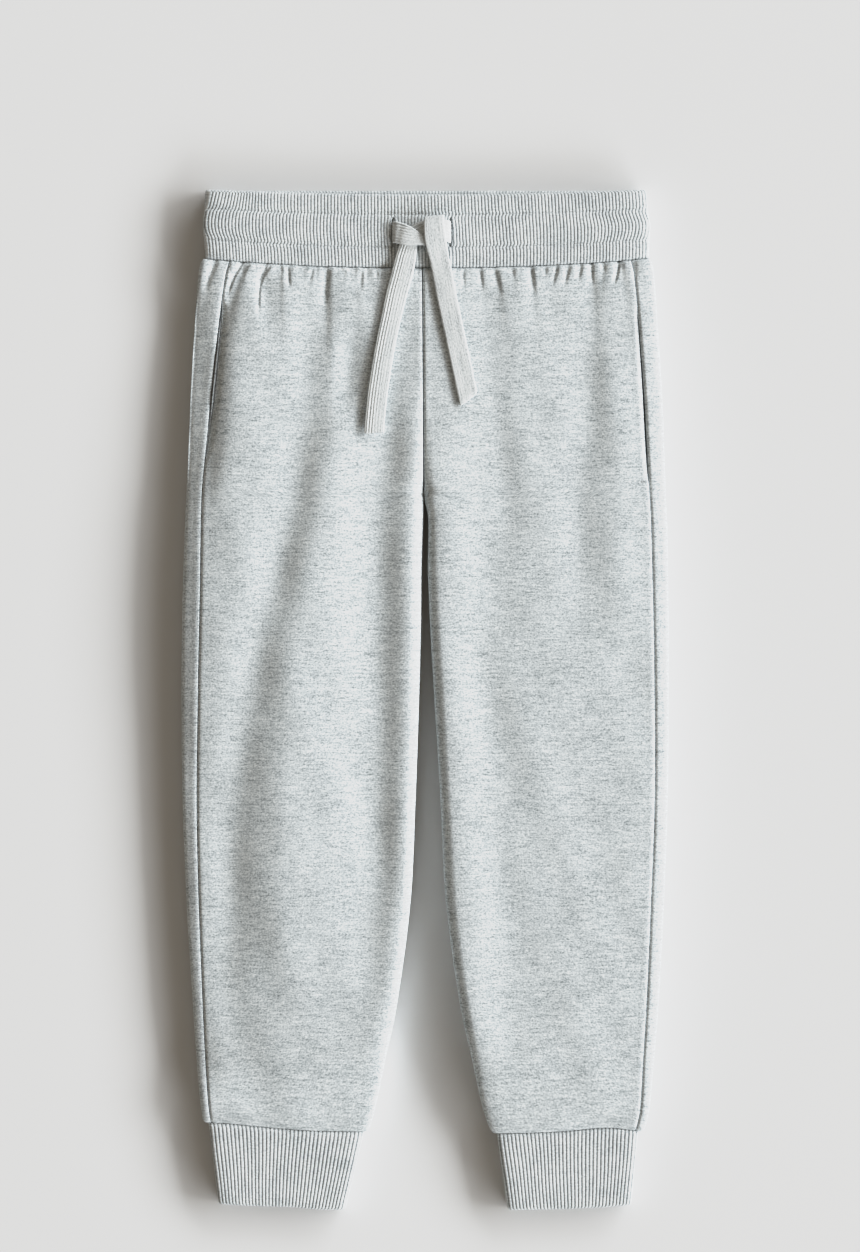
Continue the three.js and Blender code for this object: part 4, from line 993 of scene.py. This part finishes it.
def cuff(side):
    length = 47.0
    rows = []
    for share in np.concatenate([np.arange(0, 0.08, 0.016), np.arange(0.08, 0.978, 0.021), [0.979]]):
        swell = cuffs["puff"] * math.sin(math.pi * share) - 0.95 * math.exp(-((share * length / 0.9) ** 2))
        rows.append((share, 0, swell, 1))
    radius = cuffs["wall"] / 2 / length
    for a in np.linspace(0, math.pi, 8)[1:]:
        rows.append((1 - radius * (1 - math.sin(a)), cuffs["wall"] / 2 * (1 - math.cos(a)), 0, 0.5))
    rows += [(share, cuffs["wall"], 0, 0) for share in np.linspace(0.95, 0, 7)]
    rows.append((0, cuffs["wall"] / 2, 0, 0))

    def sectionAt(share):
        return tuple(float(read(cuffs[side], share, column, "share"))
                     for column in ("x0", "x1", "edge", "crown"))

    def placeY(x, z, share, top):
        start = read(hems[side], x, "y", "x") - seamGap
        return start + (read(cuffs["ends"][side], x, "y", "x") - start) * share

    def lean(x, share):
        return 0.25 * np.sin(x / 9 + 3 * share) * math.sin(math.pi * min(max(share, 0), 1))

    facts = {**{k: cuffs[k] for k in ("rib", "ribDepth", "wall")}, "shown": 6, "hidden": 3}
    piece = ribbedTube("ribbed_cuff_" + side, sectionAt, rows, facts, placeY, lean,
                       lambda x, out, key, shown: (x, out), 60 if side == "left" else 130)
    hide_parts("cuff_" + side)
    return piece


ribbed = {"waistband": waistband(), "left": cuff("left"), "right": cuff("right")}
print("ribs", [triangles(piece) for piece in ribbed.values()])


# Stitches: small beads of thread that lie on the cloth, each from one point to another

stitch = {"thickness": 0.3, "pitch": 2.4, "length": 1.75, "proud": 0.02,
          "tackStep": 0.5, "tackLength": 1.5}
tacks = {
    "left": [(-128.7, -123.2, 143)],
    "right": [(131.8, 134.8, 234), (131, 135, 132)],
}


def heightsOf(piece):
    mesh = piece.data
    tree = BVHTree.FromPolygons([v.co for v in mesh.vertices], [p.vertices for p in mesh.polygons])
    return lambda x, y: clothHeight([tree], x, y)


def threads(name, ends):
    bm = bmesh.new()
    for start, end in ends:
        along = Vector(end) - Vector(start)
        place = Matrix.Translation((Vector(start) + Vector(end)) / 2 * mm)
        turn = along.to_track_quat("Z", "Y").to_matrix().to_4x4()
        half = stitch["thickness"] / 2 * mm
        size = Matrix.Diagonal((half, half, along.length / 2 * mm, 1))
        bmesh.ops.create_uvsphere(bm, u_segments=6, v_segments=5, radius=1, matrix=place @ turn @ size)
    mesh = bpy.data.meshes.new(name)
    bm.to_mesh(mesh)
    bm.free()
    mesh.shade_smooth()
    mesh.materials.append(materials["thread"])
    piece = bpy.data.objects.new(name, mesh)
    bpy.context.scene.collection.objects.link(piece)
    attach(piece, "root")
    return piece


def channelStitches():
    height = heightsOf(ribbed["waistband"])
    ends = []
    for line in band["stitched"]:
        for k, x in enumerate(np.arange(-127, 129, stitch["pitch"])):
            y = line - float(frontDip(x, line)) + 0.12 * math.sin(2.3 * k)
            places = [x - stitch["length"] / 2, x, x + stitch["length"] / 2]
            z = max(height(place, y) for place in places) + stitch["proud"]
            ends.append(((places[0], y, z), (places[2], y + 0.1 * math.sin(5.1 * k), z)))
    return threads("channel_stitches", ends)


def barTacks(side):
    front, back = (heightsOf(piece) for piece in panels[side][:2])
    ends = []
    for x0, x1, y in tacks[side]:
        for x in np.arange(x0, x1, stitch["tackStep"]):
            z = max(front(x, y), back(x, y), front(x, y + 1), back(x, y + 1)) + stitch["proud"]
            half = stitch["tackLength"] / 2
            ends.append(((x - 0.12, y - half, z), (x + 0.12, y + half, z)))
    return threads("bar_tacks_" + side, ends)


sewing = [channelStitches(), barTacks("left"), barTacks("right")]
print("stitches", [triangles(piece) for piece in sewing])
